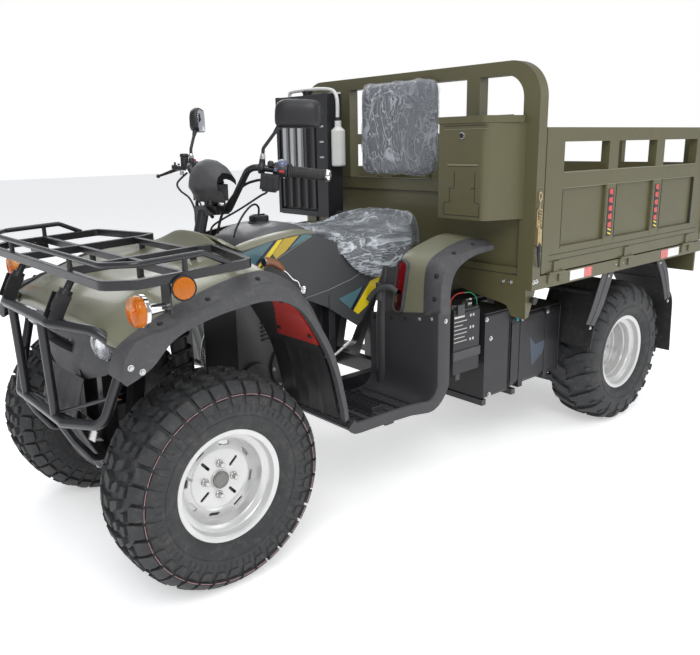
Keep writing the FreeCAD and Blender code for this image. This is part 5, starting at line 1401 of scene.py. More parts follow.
cap.piece("fuel_cap_knurled", "chassis", ["black_plastic", "tank_grey"], "black_plastic", 35,
          0.0007, 2, cover=("fuel_cap",))
control_cable("cap_vent_hose", [
    (-0.490, 0.0, 1.037), (-0.483, 0.012, 1.058), (-0.455, 0.034, 1.073),
    (-0.420, 0.052, 1.068), (-0.385, 0.058, 1.040), (-0.356, 0.060, 1.000),
    (-0.343, 0.060, 0.968)], 0.0075, blend=False)

# olive strip between the tank cover and the side covers
SIDE_TOP = [(-0.270, 0.944), (-0.330, 0.958), (-0.400, 0.970), (-0.480, 0.980), (-0.550, 0.982),
            (-0.600, 0.972)]
strips = Shape()
for sign in (1, -1):
    rings = []
    for k, (x, z) in enumerate(SIDE_TOP):
        wide = 0.2060 - 0.030 * max(0, (k - 2) / 3) ** 2 * 0.5
        rise = 0.006
        rings.append(sided([at(x, 0.1515, z + rise + 0.004), at(x, 0.176, z + rise + 0.002),
                            at(x, wide, z - 0.006), at(x, wide, z - 0.010),
                            at(x, 0.176, z + rise - 0.003), at(x, 0.1515, z + rise - 0.001)],
                           sign))
    strips.rings(rings)
strips.piece("hood_strips", "chassis", ["olive_plastic"], "olive_plastic", 50, sub=1)

SIDE_COVER = [(-0.226, 0.880), (-0.245, 0.922), (-0.270, 0.938), (-0.400, 0.964), (-0.545, 0.976),
              (-0.600, 0.962), (-0.905, 0.850), (-0.925, 0.775), (-0.862, 0.700),
              (-0.800, 0.628), (-0.777, 0.608), (-0.645, 0.694), (-0.540, 0.742), (-0.226, 0.862)]
STRIPES = {
    "stripe_teal": [[(-0.300, 0.895), (-0.318, 0.884), (-0.407, 0.962), (-0.372, 0.957),
                     (-0.275, 0.934)],
                    [(-0.471, 0.930), (-0.571, 0.966), (-0.548, 0.974), (-0.526, 0.973)],
                    [(-0.688, 0.722), (-0.806, 0.752), (-0.744, 0.676)],
                    [(-0.881, 0.722), (-0.921, 0.764), (-0.905, 0.742)]],
    "stripe_navy": [[(-0.318, 0.884), (-0.326, 0.880), (-0.419, 0.963), (-0.407, 0.962)],
                    [(-0.520, 0.973), (-0.526, 0.973), (-0.471, 0.930), (-0.462, 0.926)],
                    [(-0.806, 0.752), (-0.817, 0.757), (-0.757, 0.666), (-0.744, 0.676)]],
    "stripe_yellow": [[(-0.331, 0.877), (-0.343, 0.868), (-0.401, 0.921), (-0.446, 0.966),
                       (-0.425, 0.964)],
                      [(-0.757, 0.666), (-0.774, 0.646), (-0.830, 0.676), (-0.902, 0.782),
                       (-0.845, 0.768)]],
    "stripe_ochre": [[(-0.402, 0.920), (-0.415, 0.902), (-0.456, 0.924), (-0.514, 0.972),
                      (-0.452, 0.967)],
                     [(-0.343, 0.868), (-0.356, 0.870), (-0.368, 0.881), (-0.352, 0.888)]],
}
covers = Shape()
decal_names = list(STRIPES)
for sign in (1, -1):
    covers.prism(sided([at(x, 0.1903, z) for x, z in SIDE_COVER], sign), (0, sign * 0.014, 0), 0)
    for k, mat in enumerate(decal_names):
        for outline in STRIPES[mat]:
            covers.prism(sided([at(x, 0.2042, z) for x, z in outline], sign),
                         (0, sign * 0.0006, 0), k + 1)
    for line in ([(-0.571, 0.9655), (-0.418, 0.900), (-0.345, 0.866)],
                 [(-0.527, 0.7475), (-0.637, 0.762), (-0.747, 0.787), (-0.800, 0.806)]):
        covers.tube(sided([at(x, 0.2045, z) for x, z in line], sign), 0.0014, 8, 5)
    # dark arm over the lower corner
    arm = [(-0.640, 0.744), (-0.640, 0.694), (-0.775, 0.606), (-0.806, 0.632)]
    covers.prism(sided([at(x, 0.2043, z) for x, z in arm], sign), (0, sign * 0.0035, 0), 0)
covers.piece("side_panels", "chassis", ["side_graphics"] + decal_names + ["edge_light"],
             "side_graphics", 35, cover=("side_covers",))

# hand lever on the left side: bright boss and rod, brown tapered handle
lever = Shape()
boss = at(-0.496, 0.240, 0.790)
lever.lathe([(-0.034, 0), (-0.034, 0.009), (-0.010, 0.009), (-0.008, 0.0145), (0.008, 0.0145),
             (0.010, 0.012), (0.010, 0.0085), (0.012, 0.0085), (0.014, 0.006), (0.014, 0)], boss,
            (0, 1, 0), 32, 0)
shaft = [boss + Vector((0.012, 0, 0.012)), at(-0.474, 0.242, 0.822), at(-0.455, 0.242, 0.832),
         at(-0.430, 0.242, 0.858), at(-0.410, 0.242, 0.873)]
lever.tube(smooth_line(shaft, 5), 0.0045, 12, 0)
grip_line = smooth_line([at(-0.416, 0.242, 0.868), at(-0.405, 0.242, 0.880),
                         at(-0.385, 0.242, 0.894), at(-0.362, 0.242, 0.903),
                         at(-0.340, 0.242, 0.905)], 4)
lever.tube(grip_line, [0.0075, 0.0085, 0.0095, 0.0105, 0.0115, 0.0125, 0.0130, 0.0130, 0.0128,
                       0.0128, 0.0130, 0.0135, 0.0142, 0.0152, 0.0160, 0.0165, 0.0166], 20, 1)
end = grip_line[-1]
along_grip = (end - grip_line[-2]).normalized()
lever.tube([end - along_grip * 0.001, end + along_grip * 0.0012], [0.0167, 0.0150], 24, 0)
lever.tube([end + along_grip * 0.0008, end + along_grip * 0.0018], 0.0125, 24, 2)
lever.piece("hand_lever", "chassis", ["chrome", "lever_brown", "black_plastic"], "engine_metal", 40)


# Cushions

def crease(point, scale):
    """Ridges of a wrapped film, from 0 to 1."""
    return max(0.0, 1 - 2 * abs(noise.noise(Vector(point) * scale))) ** 3.0


def puff(item, reach):
    """Fill the cushion by a short cloth simulation, each point moving no further than reach."""
    voxel, frames = 0.006, 20
    item.data.remesh_voxel_size = voxel
    modifier = item.modifiers.new("remesh", "REMESH")
    modifier.mode, modifier.voxel_size = "VOXEL", voxel
    settle(item)
    start = np.array([v.co for v in item.data.vertices])
    cloth = item.modifiers.new("cloth", "CLOTH")
    cloth.settings.use_pressure = True
    cloth.settings.uniform_pressure_force = 4.0
    cloth.settings.effector_weights.gravity = 0
    cloth.settings.quality = 5
    cloth.point_cache.frame_start, cloth.point_cache.frame_end = 1, frames
    for step in range(1, frames + 1):
        bpy.context.scene.frame_set(step)
    seen = item.evaluated_get(bpy.context.evaluated_depsgraph_get())
    data = bpy.data.meshes.new_from_object(seen)
    item.modifiers.clear()
    ends = np.array([v.co for v in data.vertices])
    bpy.data.meshes.remove(data)
    move = ends - start
    length = np.linalg.norm(move, axis=1, keepdims=True)
    move *= np.minimum(1, reach / np.maximum(length, 1e-9))
    for vertex, co in zip(item.data.vertices, start + move):
        vertex.co = co
    bpy.context.scene.frame_set(1)
    modifier = item.modifiers.new("surface", "SUBSURF")
    modifier.levels = modifier.render_levels = 1
    settle(item)
    soften(item.data)


def wrap_film(item, name, body, keep, lift, ridges, mat):
    """A thin clear film drawn over a cushion: its own sheet, lifted in creases."""
    source = item.data
    offsets = {}
    for vertex in source.vertices:
        p = vertex.co
        rise = (lift + 0.0060 * crease(p, ridges[0])
                + 0.0028 * crease(p + Vector((3, 1, 2)), ridges[1]))
        offsets[vertex.index] = p + vertex.normal * rise
    faces = [tuple(f.vertices) for f in source.polygons if keep(f)]
    used = sorted({i for f in faces for i in f})
    renumber = {old: new for new, old in enumerate(used)}
    data = bpy.data.meshes.new(name)
    data.from_pydata([offsets[i] for i in used], [], [[renumber[i] for i in f] for f in faces])
    data.materials.append(MATS[mat])
    soften(data)
    sheet = show(name, data)
    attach(sheet, body)
    return sheet


def maths(mat, operation, *values, clamp=False):
    """A sum on sockets or numbers."""
    item = add(mat, "ShaderNodeMath", operation=operation, use_clamp=clamp)
    for socket, value in zip(item.inputs, values):
        if isinstance(value, (int, float)):
            socket.default_value = value
        else:
            link(mat, value, socket)
    return item.outputs[0]


def film_with_painted_sheen(name, colour, scale, waves, base):
    """Clear film: nearly unseen where it lies flat, pale in patches along its creases as a painted
    highlight.
    """
    mat, shader = tree(name)
    stretch = add(mat, "ShaderNodeMapping")
    stretch.inputs["Scale"].default_value = scale
    link(mat, place(mat), stretch.inputs["Vector"])
    lines = []
    for size, width in waves:
        wave = add(mat, "ShaderNodeTexNoise", Scale=size, Detail=3.0, Roughness=0.5,
                   Distortion=1.4)
        link(mat, stretch.outputs[0], wave.inputs["Vector"])
        far = maths(mat, "ABSOLUTE", maths(mat, "SUBTRACT", wave.outputs[0], 0.5))
        lines.append(maths(mat, "MULTIPLY_ADD", far, -width * 2, 1.0, clamp=True))
    full = maths(mat, "MAXIMUM", maths(mat, "MAXIMUM", lines[0], lines[1]), lines[2])
    patch = add(mat, "ShaderNodeTexNoise", Scale=0.55, Detail=2.0)
    link(mat, stretch.outputs[0], patch.inputs["Vector"])
    where = ramp(mat, patch.outputs[0], 0.38, 0.62, (0.16, 0.16, 0.16), (1.0, 1.0, 1.0))
    part = maths(mat, "MULTIPLY", full, where)
    # pale colour in patches along the creases is painted highlight; the base gives all the film a
    # thin pale veil, partly its own haze and partly painted sheen
    link(mat, maths(mat, "MULTIPLY_ADD", part, 0.9, base, clamp=True), shader.inputs["Alpha"])
    shader.inputs["Base Color"].default_value = (*colour, 1)
    shader.inputs["Roughness"].default_value = 0.17
    shader.inputs["Specular IOR Level"].default_value = 0.9
    bump = add(mat, "ShaderNodeBump", Strength=0.8, Distance=0.004)
    link(mat, full, bump.inputs["Height"])
    link(mat, bump.outputs[0], shader.inputs["Normal"])
    return mat


MATS["clear_film"] = film_with_painted_sheen("clear_film", (0.66, 0.71, 0.76), (2.4, 6.0, 10.0),
                                   ((0.8, 20.0), (1.4, 20.0), (2.4, 17.0)), 0.22)
MATS["pad_film"] = film_with_painted_sheen("pad_film", (0.55, 0.58, 0.63), (5.0, 5.0, 3.0),
                                 ((1.0, 26.0), (1.7, 24.0), (3.0, 20.0)), 0.28)

# Saddle by place from the front axle, in mm: half width outside, lower edge, top, and the
# height of the ledge that rests on the frame.
SADDLE = [(-656, 120, 945, 962, 900), (-672, 178, 925, 968, 875), (-700, 214, 880, 969, 867),
          (-740, 219, 830, 965, 866), (-790, 221, 795, 959, 866), (-840, 221, 779, 956, 866),
          (-900, 221, 776, 960, 866), (-955, 221, 785, 971, 866), (-1005, 221, 803, 985, 866),
          (-1050, 220, 845, 995, 866), (-1085, 196, 868, 1000, 866), (-1125, 172, 868, 1001, 866),
          (-1155, 160, 872, 990, 868), (-1170, 140, 890, 965, 880)]
saddle = Shape()
rows = []
for place_x, half, low, top, base in spread([(-s[0], *s[1:]) for s in SADDLE], 44):
    tall = top - low
    side = [(min(half * 0.80, 186), max(low, base)),
            (min(half * 0.94, 205), max(low + 2, base) - 1), (half * 0.965, low + 1),
            (half * 0.99, low + tall * 0.05), (half, low + tall * 0.25),
            (half * 0.995, low + tall * 0.55), (half * 0.955, low + tall * 0.80),
            (half * 0.84, low + tall * 0.93), (half * 0.62, low + tall * 0.985),
            (half * 0.32, low + tall * 1.0)]
    ring = side + [(0, top + 1)] + [(-y, z) for y, z in reversed(side)]
    rows.append([at(-place_x / 1000, y / 1000, z / 1000) for y, z in ring])
saddle.rings(rows)
seat = saddle.piece("saddle", "chassis", ["seat_vinyl"], "seat_vinyl", 60, cover=("seat",))
puff(seat, 0.004)
film = wrap_film(seat, "saddle_film", "chassis",
                 lambda f: f.normal.z > -0.35 and f.center.z > 0.79, 0.0022, (9.0, 20.0),
                 "clear_film")

PAD_Y, PAD_Z, PAD_LOW = (-0.227, 0.214), (1.140, 1.522), -1.2244
pad = Shape()
middle_y, middle_z = sum(PAD_Y) / 2, sum(PAD_Z) / 2
half_y, half_z = (PAD_Y[1] - PAD_Y[0]) / 2, (PAD_Z[1] - PAD_Z[0]) / 2


def pad_ring(depth, inset):
    """Rounded square whose sides pull in slightly between its corners."""
    ring = []
    power = 2 / 9.0
    for k in range(96):
        turn = 2 * math.pi * (k + 0.5) / 96
        c, s = math.cos(turn), math.sin(turn)
        u = abs(c) ** power * (1 if c > 0 else -1)
        w = abs(s) ** power * (1 if s > 0 else -1)
        waist = 1 - 0.006 * math.sin(2 * turn + math.pi / 2) ** 2
        ring.append(at(PAD_LOW + depth, middle_y + (half_y - inset) * u * waist,
                       middle_z + (half_z - inset) * w * waist))
    return ring


pad.rings([pad_ring(*row) for row in (
    (0.0, 0.12), (0.0, 0.03), (0.003, 0.010), (0.010, 0.004), (0.022, 0.003), (0.033, 0.006),
    (0.040, 0.016), (0.0445, 0.040), (0.0470, 0.09), (0.0480, 0.15))])
cushion = pad.piece("back_cushion", "bed", ["pad_vinyl"], "pad_vinyl", 60, cover=("back_pad",))
puff(cushion, 0.004)
pad_film = wrap_film(cushion, "cushion_film", "bed", lambda f: f.normal.x > -0.3, 0.0018,
                     (7.0, 16.0), "pad_film")
for sheet, flat in ((film, (0.62, 0.56)), (pad_film, (0.52, 0.47))):
    area = sum(f.area for f in sheet.data.polygons)
    share = math.sqrt(area / (flat[0] * flat[1]))


# Footwells, rear fenders, lamps, boxes and cooler


def span_box(shape, one, other, sign=1, mat=0):
    """A box between two opposite corners, on either side of the vehicle."""
    a, b = sided([at(*one), at(*other)], sign)
    shape.box([min(i, j) for i, j in zip(a, b)], [max(i, j) for i, j in zip(a, b)], mat)


def stadium(start, end, radius):
    """Points round a slot between two (y, z) places."""
    count = 12
    (y0, z0), (y1, z1) = start, end
    turn = math.atan2(z0 - z1, y0 - y1)
    ring = []
    for (y, z), base in (((y0, z0), turn - math.pi / 2), ((y1, z1), turn + math.pi / 2)):
        for k in range(count + 1):
            swing = base + math.pi * k / count
            ring.append((y + radius * math.cos(swing), z + radius * math.sin(swing)))
    return ring


# Rear fenders and their trims, by side lines in mm from the front axle
FENDER_IN = [(-860, 640), (-860, 700), (-860, 780), (-861, 842), (-876, 872), (-900, 889),
             (-945, 905), (-1000, 920), (-1075, 936), (-1150, 932)]
FENDER_OUT = [(-860, 682), (-860, 720), (-861, 765), (-864, 815), (-874, 850), (-896, 872),
              (-928, 888), (-985, 908), (-1060, 922), (-1150, 920)]
FOLD = [(-866, 686), (-866, 722), (-868, 767), (-874, 812), (-888, 846), (-918, 870), (-960, 888),
        (-1010, 900), (-1080, 907), (-1150, 906)]
OPENING = [(-919, 686), (-916, 725), (-917, 765), (-930, 812), (-958, 846), (-1005, 868),
           (-1055, 880), (-1100, 885), (-1125, 887), (-1150, 888)]


def resample(points, count):
    """Evenly spaced points along a smooth curve."""
    line = smooth_line([(x, z, 0) for x, z in points], 6)
    places = [0.0]
    for a, b in zip(line, line[1:]):
        places.append(places[-1] + (b - a).length)
    result, k = [], 0
    for i in range(count):
        goal = places[-1] * i / (count - 1)
        while k < len(line) - 2 and places[k + 1] < goal:
            k += 1
        share = (goal - places[k]) / max(1e-9, places[k + 1] - places[k])
        result.append(line[k].lerp(line[k + 1], min(1, share)))
    return result


COUNT = 40
inside, outside, fold, opening = (resample(t, COUNT)
                                  for t in (FENDER_IN, FENDER_OUT, FOLD, OPENING))
inward_at = []
for k in range(COUNT):
    way = (outside[min(k + 1, COUNT - 1)] - outside[max(k - 1, 0)]).normalized()
    inward_at.append(Vector((-abs(way.y), -abs(way.x), 0)))


def station(section, k, sign):
    """Points (y, line point, depth) of one cross-section, in mm."""
    inward = inward_at[k]
    return sided([at((p.x + inward.x * d) / 1000, y / 1000, (p.y + inward.y * d) / 1000)
                  for y, p, d in section], sign)


def wall_top(y):
    return 0.645 + (y - 0.200) * 0.15


WALL_FACE = -0.8568      # front of the footwell's rear wall
FOOT_PATH = [(-0.455, 0.376), (-0.470, 0.360), (-0.492, 0.352), (-0.560, 0.351), (-0.650, 0.351),
             (-0.740, 0.351), (-0.800, 0.354), (-0.832, 0.364), (-0.850, 0.388), (-0.857, 0.425),
             (-0.857, 0.480), (-0.857, 0.560), (-0.857, 0.640)]
FOOT_WALL = [0, 0, 0, 0, 0, 0.05, 0.25, 0.5, 0.75, 1, 1, 1, 1]
FLOOR_SECTION = [(192, 0), (300, 0), (470, 0), (497, 4), (508, 18), (513, 30), (520, 33), (524, 29),
                 (524, 0), (524, -7), (518, -7), (516, 0), (505, -4), (300, -5), (192, -5)]
WALL_SECTION = [(192, 0), (300, 0), (470, 0), (500, 0), (520, 0), (536, 0), (542, -1), (545, -6),
                (545, -45), (545, -60), (541, -60), (541, -45), (520, -5), (300, -5), (192, -5)]

for hand, sign in SIDES:
    foot = Shape()
    line = smooth_line([(x, z, 0) for x, z in FOOT_PATH], 4)
    rings = []
    for k, point in enumerate(line):
        way = (line[min(k + 1, len(line) - 1)] - line[max(k - 1, 0)]).normalized()
        part = k / 4
        share = mix(FOOT_WALL[int(part)], FOOT_WALL[min(int(part) + 1, 12)], part % 1)
        ring = []
        for (y0, d0), (y1, d1) in zip(FLOOR_SECTION, WALL_SECTION):
            y, d = mix(y0, y1, share) / 1000, mix(d0, d1, share) / 1000
            rise = 0 if k < len(line) - 1 else wall_top(y) - point.y
            ring.append(at(point.x + way.y * d, y, point.y - way.x * d + rise))
        rings.append(sided(ring, sign))
    foot.rings(rings)
    for k in range(6):
        x = -0.806 + 0.055 * k
        span_box(foot, (x - 0.007, 0.255, 0.350), (x + 0.007, 0.475, 0.3565), sign)
    span_box(foot, (-0.690, 0.212, 0.350), (-0.630, 0.442, 0.374), sign)
    foot.tube(sided([at(-0.864, 0.250, 0.352), at(-0.864, 0.250, 0.640), at(-0.864, 0.255, 0.705),
                     at(-0.866, 0.270, 0.830)], sign), [0.0225, 0.0225, 0.021, 0.012], 22)
    foot.piece(f"footwell_{hand}", "chassis", ["foot_plastic"], "grey_plastic", 38, 0.0012, 2,
               cover=("footwells",) if sign > 0 else ())
    shell, trim = Shape(), Shape()
    skin, trim_rings = [], []
    for k in range(COUNT):
        a, b, f, o = inside[k], outside[k], fold[k], opening[k]
        section = [(338, a, 26), (341, a, 8), (347, a, 1), (358, a, 0), (395, a, 0),
                   (425, a.lerp(b, 0.22), 0), (460, a.lerp(b, 0.6), 0), (484, a.lerp(b, 0.88), 0),
                   (500, b, 2)]
        skin.append(station(section, k, sign)
                            + station([(y, p, d + 5) for y, p, d in reversed(section)], k, sign))
        rim = [(470, a.lerp(b, 0.75), -2), (484, a.lerp(b, 0.9), -4), (500, b, -4),
               (520, b.lerp(f, 0.45), -3), (537, b.lerp(f, 0.92), -1.5), (543, f, 0),
               (545.5, f.lerp(o, 0.08), 0), (546, f.lerp(o, 0.5), 0), (545, o, 0), (540, o, 0),
               (541, f.lerp(o, 0.5), 0), (539, f, 5), (520, b.lerp(f, 0.45), 3), (500, b, 4),
               (470, a.lerp(b, 0.75), 3)]
        trim_rings.append(station(rim, k, sign))
    shell.rings(skin)
    span_box(shell, (-1.132, 0.1905, 0.838), (-1.100, 0.350, 0.858), sign)
    span_box(shell, (-1.132, 0.338, 0.845), (-1.100, 0.352, 0.934), sign)
    shell.piece(f"rear_fender_{hand}", "chassis", ["olive_plastic"], "olive_plastic", 40,
                cover=("rear_fenders",) if sign > 0 else ())
    trim.rings(trim_rings)
    trim.piece(f"rear_trim_{hand}", "chassis", ["grey_plastic"], "grey_plastic", 28,
               cover=("rear_flares",) if sign > 0 else ())
    bits = Shape()
    for k in (5, 12, 22, 31):
        spot = outside[k].lerp(fold[k], 0.5) - inward_at[k] * 2.5
        bits.bolt(at(spot.x / 1000, sign * 0.521, spot.y / 1000),
                  (-inward_at[k].x, sign * 0.25, -inward_at[k].y), 0.006, 0.004, 0)
    # bolts along the wall's top
    for y, z in ((0.308, 0.642), (0.378, 0.649), (0.450, 0.659), (0.510, 0.670)):
        bits.bolt(at(WALL_FACE, sign * y, z), (1, 0, 0), 0.0055, 0.004, 1 if y > 0.42 else 0)
    bits.bolt(at(WALL_FACE, sign * 0.214, 0.629), (1, 0, 0), 0.0055, 0.004, 0)
    bits.bolt(at(-0.893, sign * 0.5455, 0.662), (0, sign, 0), 0.006, 0.004, 1)
    # tail lamp on the fender's front face
    high, low = (0.372, 0.842), (0.346, 0.694)
    middle, lower = (tuple(mix(a, b, share) for a, b in zip(high, low)) for share in (0.58, 0.70))
    lens = ((0.0196, -0.858), (0.0196, -0.8495), (0.0165, -0.8475))
    frame_rings = ((0.0270, -0.8605), (0.0270, -0.848), (0.0255, -0.8455), (0.0215, -0.8455),
                   (0.0205, -0.850), (0.0205, -0.8605))
    for one, other, rows, mat in ((high, low, frame_rings, 2), (high, middle, lens, 3),
                                  (lower, low, lens, 4)):
        bits.rings([sided([at(x, y, z) for y, z in stadium(one, other, radius)], sign)
                    for radius, x in rows], mat)
    # pillar between the lamp and the side cover
    pillar = [at(-0.868, 0.262, 0.822), at(-0.868, 0.338, 0.838), at(-0.868, 0.338, 0.640),
              at(-0.868, 0.250, 0.640)]
    bits.prism(sided(pillar, sign), (0.006, 0, 0), 2)
    # grab handle on the upright tube
    hold = smooth_line([at(-0.852, 0.345, 0.745), at(-0.846, 0.315, 0.758),
                        at(-0.840, 0.275, 0.752), at(-0.832, 0.240, 0.732),
                        at(-0.824, 0.215, 0.700)], 5)
    bits.tube(sided(hold, sign), [0.0125 - 0.0035 * i / 20 for i in range(21)], 14, 2)
    bits.tube(sided([at(-0.856, 0.25, 0.700), at(-0.856, 0.25, 0.765)], sign), 0.0185, 20, 2)
    bits.piece(f"fender_fittings_{hand}", "chassis",
               ["black_plastic", "bright_steel", "grey_plastic", "tail_red", "tail_dark"],
               "grey_plastic", 36)

# Peg teeth and floor grips
tread = Shape()
for sign in (1, -1):
    for x in (-0.686, -0.668, -0.650, -0.634):
        for k in range(17):
            y = 0.218 + 0.0132 * k
            tooth = [at(x - 0.004, y, 0.3738), at(x + 0.004, y, 0.3738), at(x + 0.001, y, 0.3805),
                     at(x - 0.003, y, 0.3805)]
            tread.prism(sided(tooth, sign), (0, sign * 0.007, 0), 0)
    for i in range(5):
        for k in range(9):
            y = 0.212 + 0.031 * k + 0.012 * (i % 2)
            x = -0.515 - 0.024 * i
            span_box(tread, (x - 0.012, y, 0.3508), (x, y + 0.022, 0.3542), sign)
    for k in range(10):
        y = 0.215 + 0.028 * k
        for x in (-0.735, -0.755, -0.790, -0.822):
            span_box(tread, (x - 0.010, y, 0.3505), (x, y + 0.019, 0.3540), sign)
    tread.bolt(at(-0.493, sign * 0.44, 0.372), (0.5, 0, 1), 0.006, 0.004, 1)
tread.piece("floor_grips", "chassis", ["black_plastic", "bright_steel"], "grey_plastic", 35)

# Engine: finned barrel, covers, linkage and shock springs
engine = Shape()
for k in range(11):
    z = 0.600 + 0.0155 * k
    engine.box(at(-0.560, -0.126, z), at(-0.400, 0.126, z + 0.005), 0)
for sign in (1, -1):
    spot = at(-0.520, sign * 0.1145, 0.490)
    engine.lathe([(0, 0), (0, 0.092), (0.014, 0.090), (0.020, 0.082), (0.022, 0.060),
                  (0.030, 0.055), (0.032, 0.0)], spot, (0, sign, 0), 56, 0)
    for k in range(8):
        turn = 2 * math.pi * k / 8
        rim_at = Vector((0.083 * math.cos(turn), sign * 0.018, 0.083 * math.sin(turn)))
        engine.bolt(spot + rim_at, (0, sign, 0), 0.005, 0.005, 1)
    spot = at(-0.360, sign * 0.1145, 0.470)
    engine.lathe([(0, 0), (0, 0.060), (0.018, 0.056), (0.022, 0.040), (0.022, 0)], spot,
                 (0, sign, 0), 48, 0)
    # bright gear linkage with its pedal end
    link_line = [at(-0.640, 0.150, 0.500), at(-0.640, 0.205, 0.503), at(-0.612, 0.232, 0.512),
                 at(-0.655, 0.238, 0.535), at(-0.680, 0.238, 0.548)]
    engine.tube(sided(smooth_line(link_line, 5), sign), 0.0055, 12, 1)
    engine.tube(sided([at(-0.676, 0.238, 0.546), at(-0.706, 0.238, 0.560)], sign), 0.0095, 16, 1)
    # spring round the shock absorber
    foot, head = (Vector(p) for p in sided([at(-0.032, 0.265, 0.389), at(-0.032, 0.196, 0.735)],
                                           sign))
    axis = (head - foot).normalized()
    spin = axis.to_track_quat("Z", "Y")
    turns = [foot + (head - foot) * (k / 160) + spin @ Vector((
        math.cos(2 * math.pi * k / 20), math.sin(2 * math.pi * k / 20), 0)) * 0.034
             for k in range(161)]
    engine.tube(turns, 0.0052, 10, 2)
    for share in (0.0, 1.0):
        where = foot + (head - foot) * share
        engine.tube([where - axis * 0.005, where + axis * 0.005], 0.041, 28, 3)
    engine.tube([head - axis * 0.02, head + axis * 0.05], 0.0275, 24, 3)
# exhaust along the right side
pipe = smooth_line([at(-0.410, -0.120, 0.640), at(-0.350, -0.150, 0.600), at(-0.330, -0.165, 0.480),
                    at(-0.400, -0.160, 0.380), at(-0.560, -0.155, 0.330)], 6)
engine.tube(pipe, 0.019, 18, 1)
engine.piece("engine_fittings", "chassis",
             ["engine_metal", "bright_steel", "suspension_black", "bronze"], "engine_metal", 38)

# Battery, case, tank
boxes = Shape()
span_box(boxes, (-1.147, 0.333, 0.6572), (-1.003, 0.487, 0.670))
span_box(boxes, (-1.150, 0.372, 0.668), (-1.000, 0.448, 0.678))
for x in (-1.125, -1.035):
    boxes.box(at(x, 0.440, 0.670), at(x + 0.022, 0.470, 0.684), 1)
for k, width in enumerate((0.058, 0.072, 0.048, 0.072, 0.072, 0.060, 0.072)):
    z = 0.640 - 0.0155 * k
    boxes.box(at(-1.003 - width, 0.4898, z), at(-1.003, 0.4906, z + (0.007 if k == 0 else 0.0028)),
              2)
    if k % 3 == 0:
        for x in (-1.092, -1.108):
            boxes.box(at(x - 0.008, 0.4898, z - 0.004), at(x, 0.4906, z + 0.006), 2)
boxes.box(at(-1.154, 0.489, 0.478), at(-0.997, 0.494, 0.512), 5)
boxes.box(at(-1.058, 0.489, 0.648), at(-1.020, 0.493, 0.690), 5)
for x, z in ((-1.150, 0.640), (-1.178, 0.560), (-1.178, 0.330)):
    boxes.bolt(at(x - 0.03, 0.5003, z - 0.03), (0, 1, 0), 0.0065, 0.005, 1)
for x0, x1, high in ((-1.335, -1.169, 0.6325), (-1.683, -1.341, 0.5985)):
    boxes.box(at(x0, 0.313, high - 0.002), at(x1, 0.5022, high + 0.002), 0)
    edge = [at(x0 + 0.006, 0.5015, 0.292), at(x0 + 0.006, 0.5015, high - 0.01)]
    boxes.tube(edge, 0.0022, 8, 0)
for x in (-1.425, -1.600):
    boxes.box(at(x, 0.299, 0.2835), at(x + 0.028, 0.5018, 0.5975), 0)
    boxes.bolt(at(x + 0.014, 0.502, 0.575), (0, 1, 0), 0.006, 0.005, 1)
boxes.lathe([(0, 0), (0, 0.036), (0.004, 0.038), (0.020, 0.037), (0.024, 0.030), (0.024, 0)],
            at(-1.535, 0.400, 0.598), (0, 0, 1), 48, 0)
for k in range(16):
    turn = 2 * math.pi * k / 16
    foot = at(-1.535 + 0.037 * math.cos(turn), 0.400 + 0.037 * math.sin(turn), 0.602)
    boxes.rod(foot, foot + UP * 0.014, 0.0022, 8, 0)
tank_decal = [(-1.466, 0.487), (-1.510, 0.447), (-1.570, 0.455), (-1.598, 0.462), (-1.561, 0.400),
              (-1.488, 0.357)]
boxes.prism([at(x, 0.4998, z) for x, z in tank_decal], (0, 0.0008, 0), 4)
boxes.lathe([(0, 0), (0, 0.011), (0.018, 0.010), (0.020, 0.006), (0.034, 0.005), (0.034, 0)],
            at(-1.352, 0.512, 0.612), (0.3, 0.5, -1), 20, 3)
boxes.lathe([(0, 0), (0, 0.015), (0.012, 0.018), (0.022, 0.014), (0.024, 0)],
            at(-1.356, 0.500, 0.612), (-0.2, 1, 0.1), 24, 3)
boxes.box(at(-1.364, 0.470, 0.600), at(-1.340, 0.505, 0.624), 0)
boxes.piece("box_fittings", "chassis",
            ["black_plastic", "bright_steel", "pale_line", "plug_cyan", "tank_decal",
             "grey_plastic"], "black_plastic", 35)

control_cable("battery_wire_red", [(-1.024, 0.452, 0.684), (-1.030, 0.450, 0.705),
                                   (-1.060, 0.452, 0.722), (-1.100, 0.455, 0.722)],
              0.0052, "wire_red", False)
control_cable("battery_wire_green", [(-1.100, 0.455, 0.722), (-1.135, 0.456, 0.716),
                                     (-1.168, 0.455, 0.690), (-1.180, 0.452, 0.634)],
              0.0052, "wire_green", False)

# Cooler: shroud, pale slats, side rail with slots, cap and hoses
cooler = Shape()
left, right, low, high = -0.655, -0.290, 0.960, 1.480
for y0, y1, z0, z1 in ((left - 0.004, left + 0.016, low, high + 0.004),
                       (right - 0.070, right + 0.004, low, high + 0.004),
                       (left + 0.016, right - 0.070, high - 0.022, high + 0.002),
                       (left + 0.016, right - 0.070, low - 0.002, low + 0.022)):
    cooler.box(at(-1.134, y0, z0), at(-1.050, y1, z1), 0)
for k in range(3):
    y = -0.605 + 0.056 * k
    cooler.box(at(-1.0700, y - 0.012, low + 0.17), at(-1.0545, y + 0.012, high - 0.055), 1)
for k in range(4):
    z = 1.345 - 0.065 * k
    cooler.box(at(-1.0505, right - 0.048, z), at(-1.0485, right - 0.020, z + 0.007), 1)
for k in range(34):
    z = low + 0.03 + 0.0135 * k
    cooler.box(at(-1.0735, left + 0.014, z), at(-1.0715, right - 0.066, z + 0.0035), 0)
cooler.lathe([(0, 0), (0, 0.020), (0.010, 0.020), (0.012, 0.024), (0.020, 0.023), (0.020, 0)],
             at(-1.092, -0.47, high + 0.004), (0, 0, 1), 36, 0)
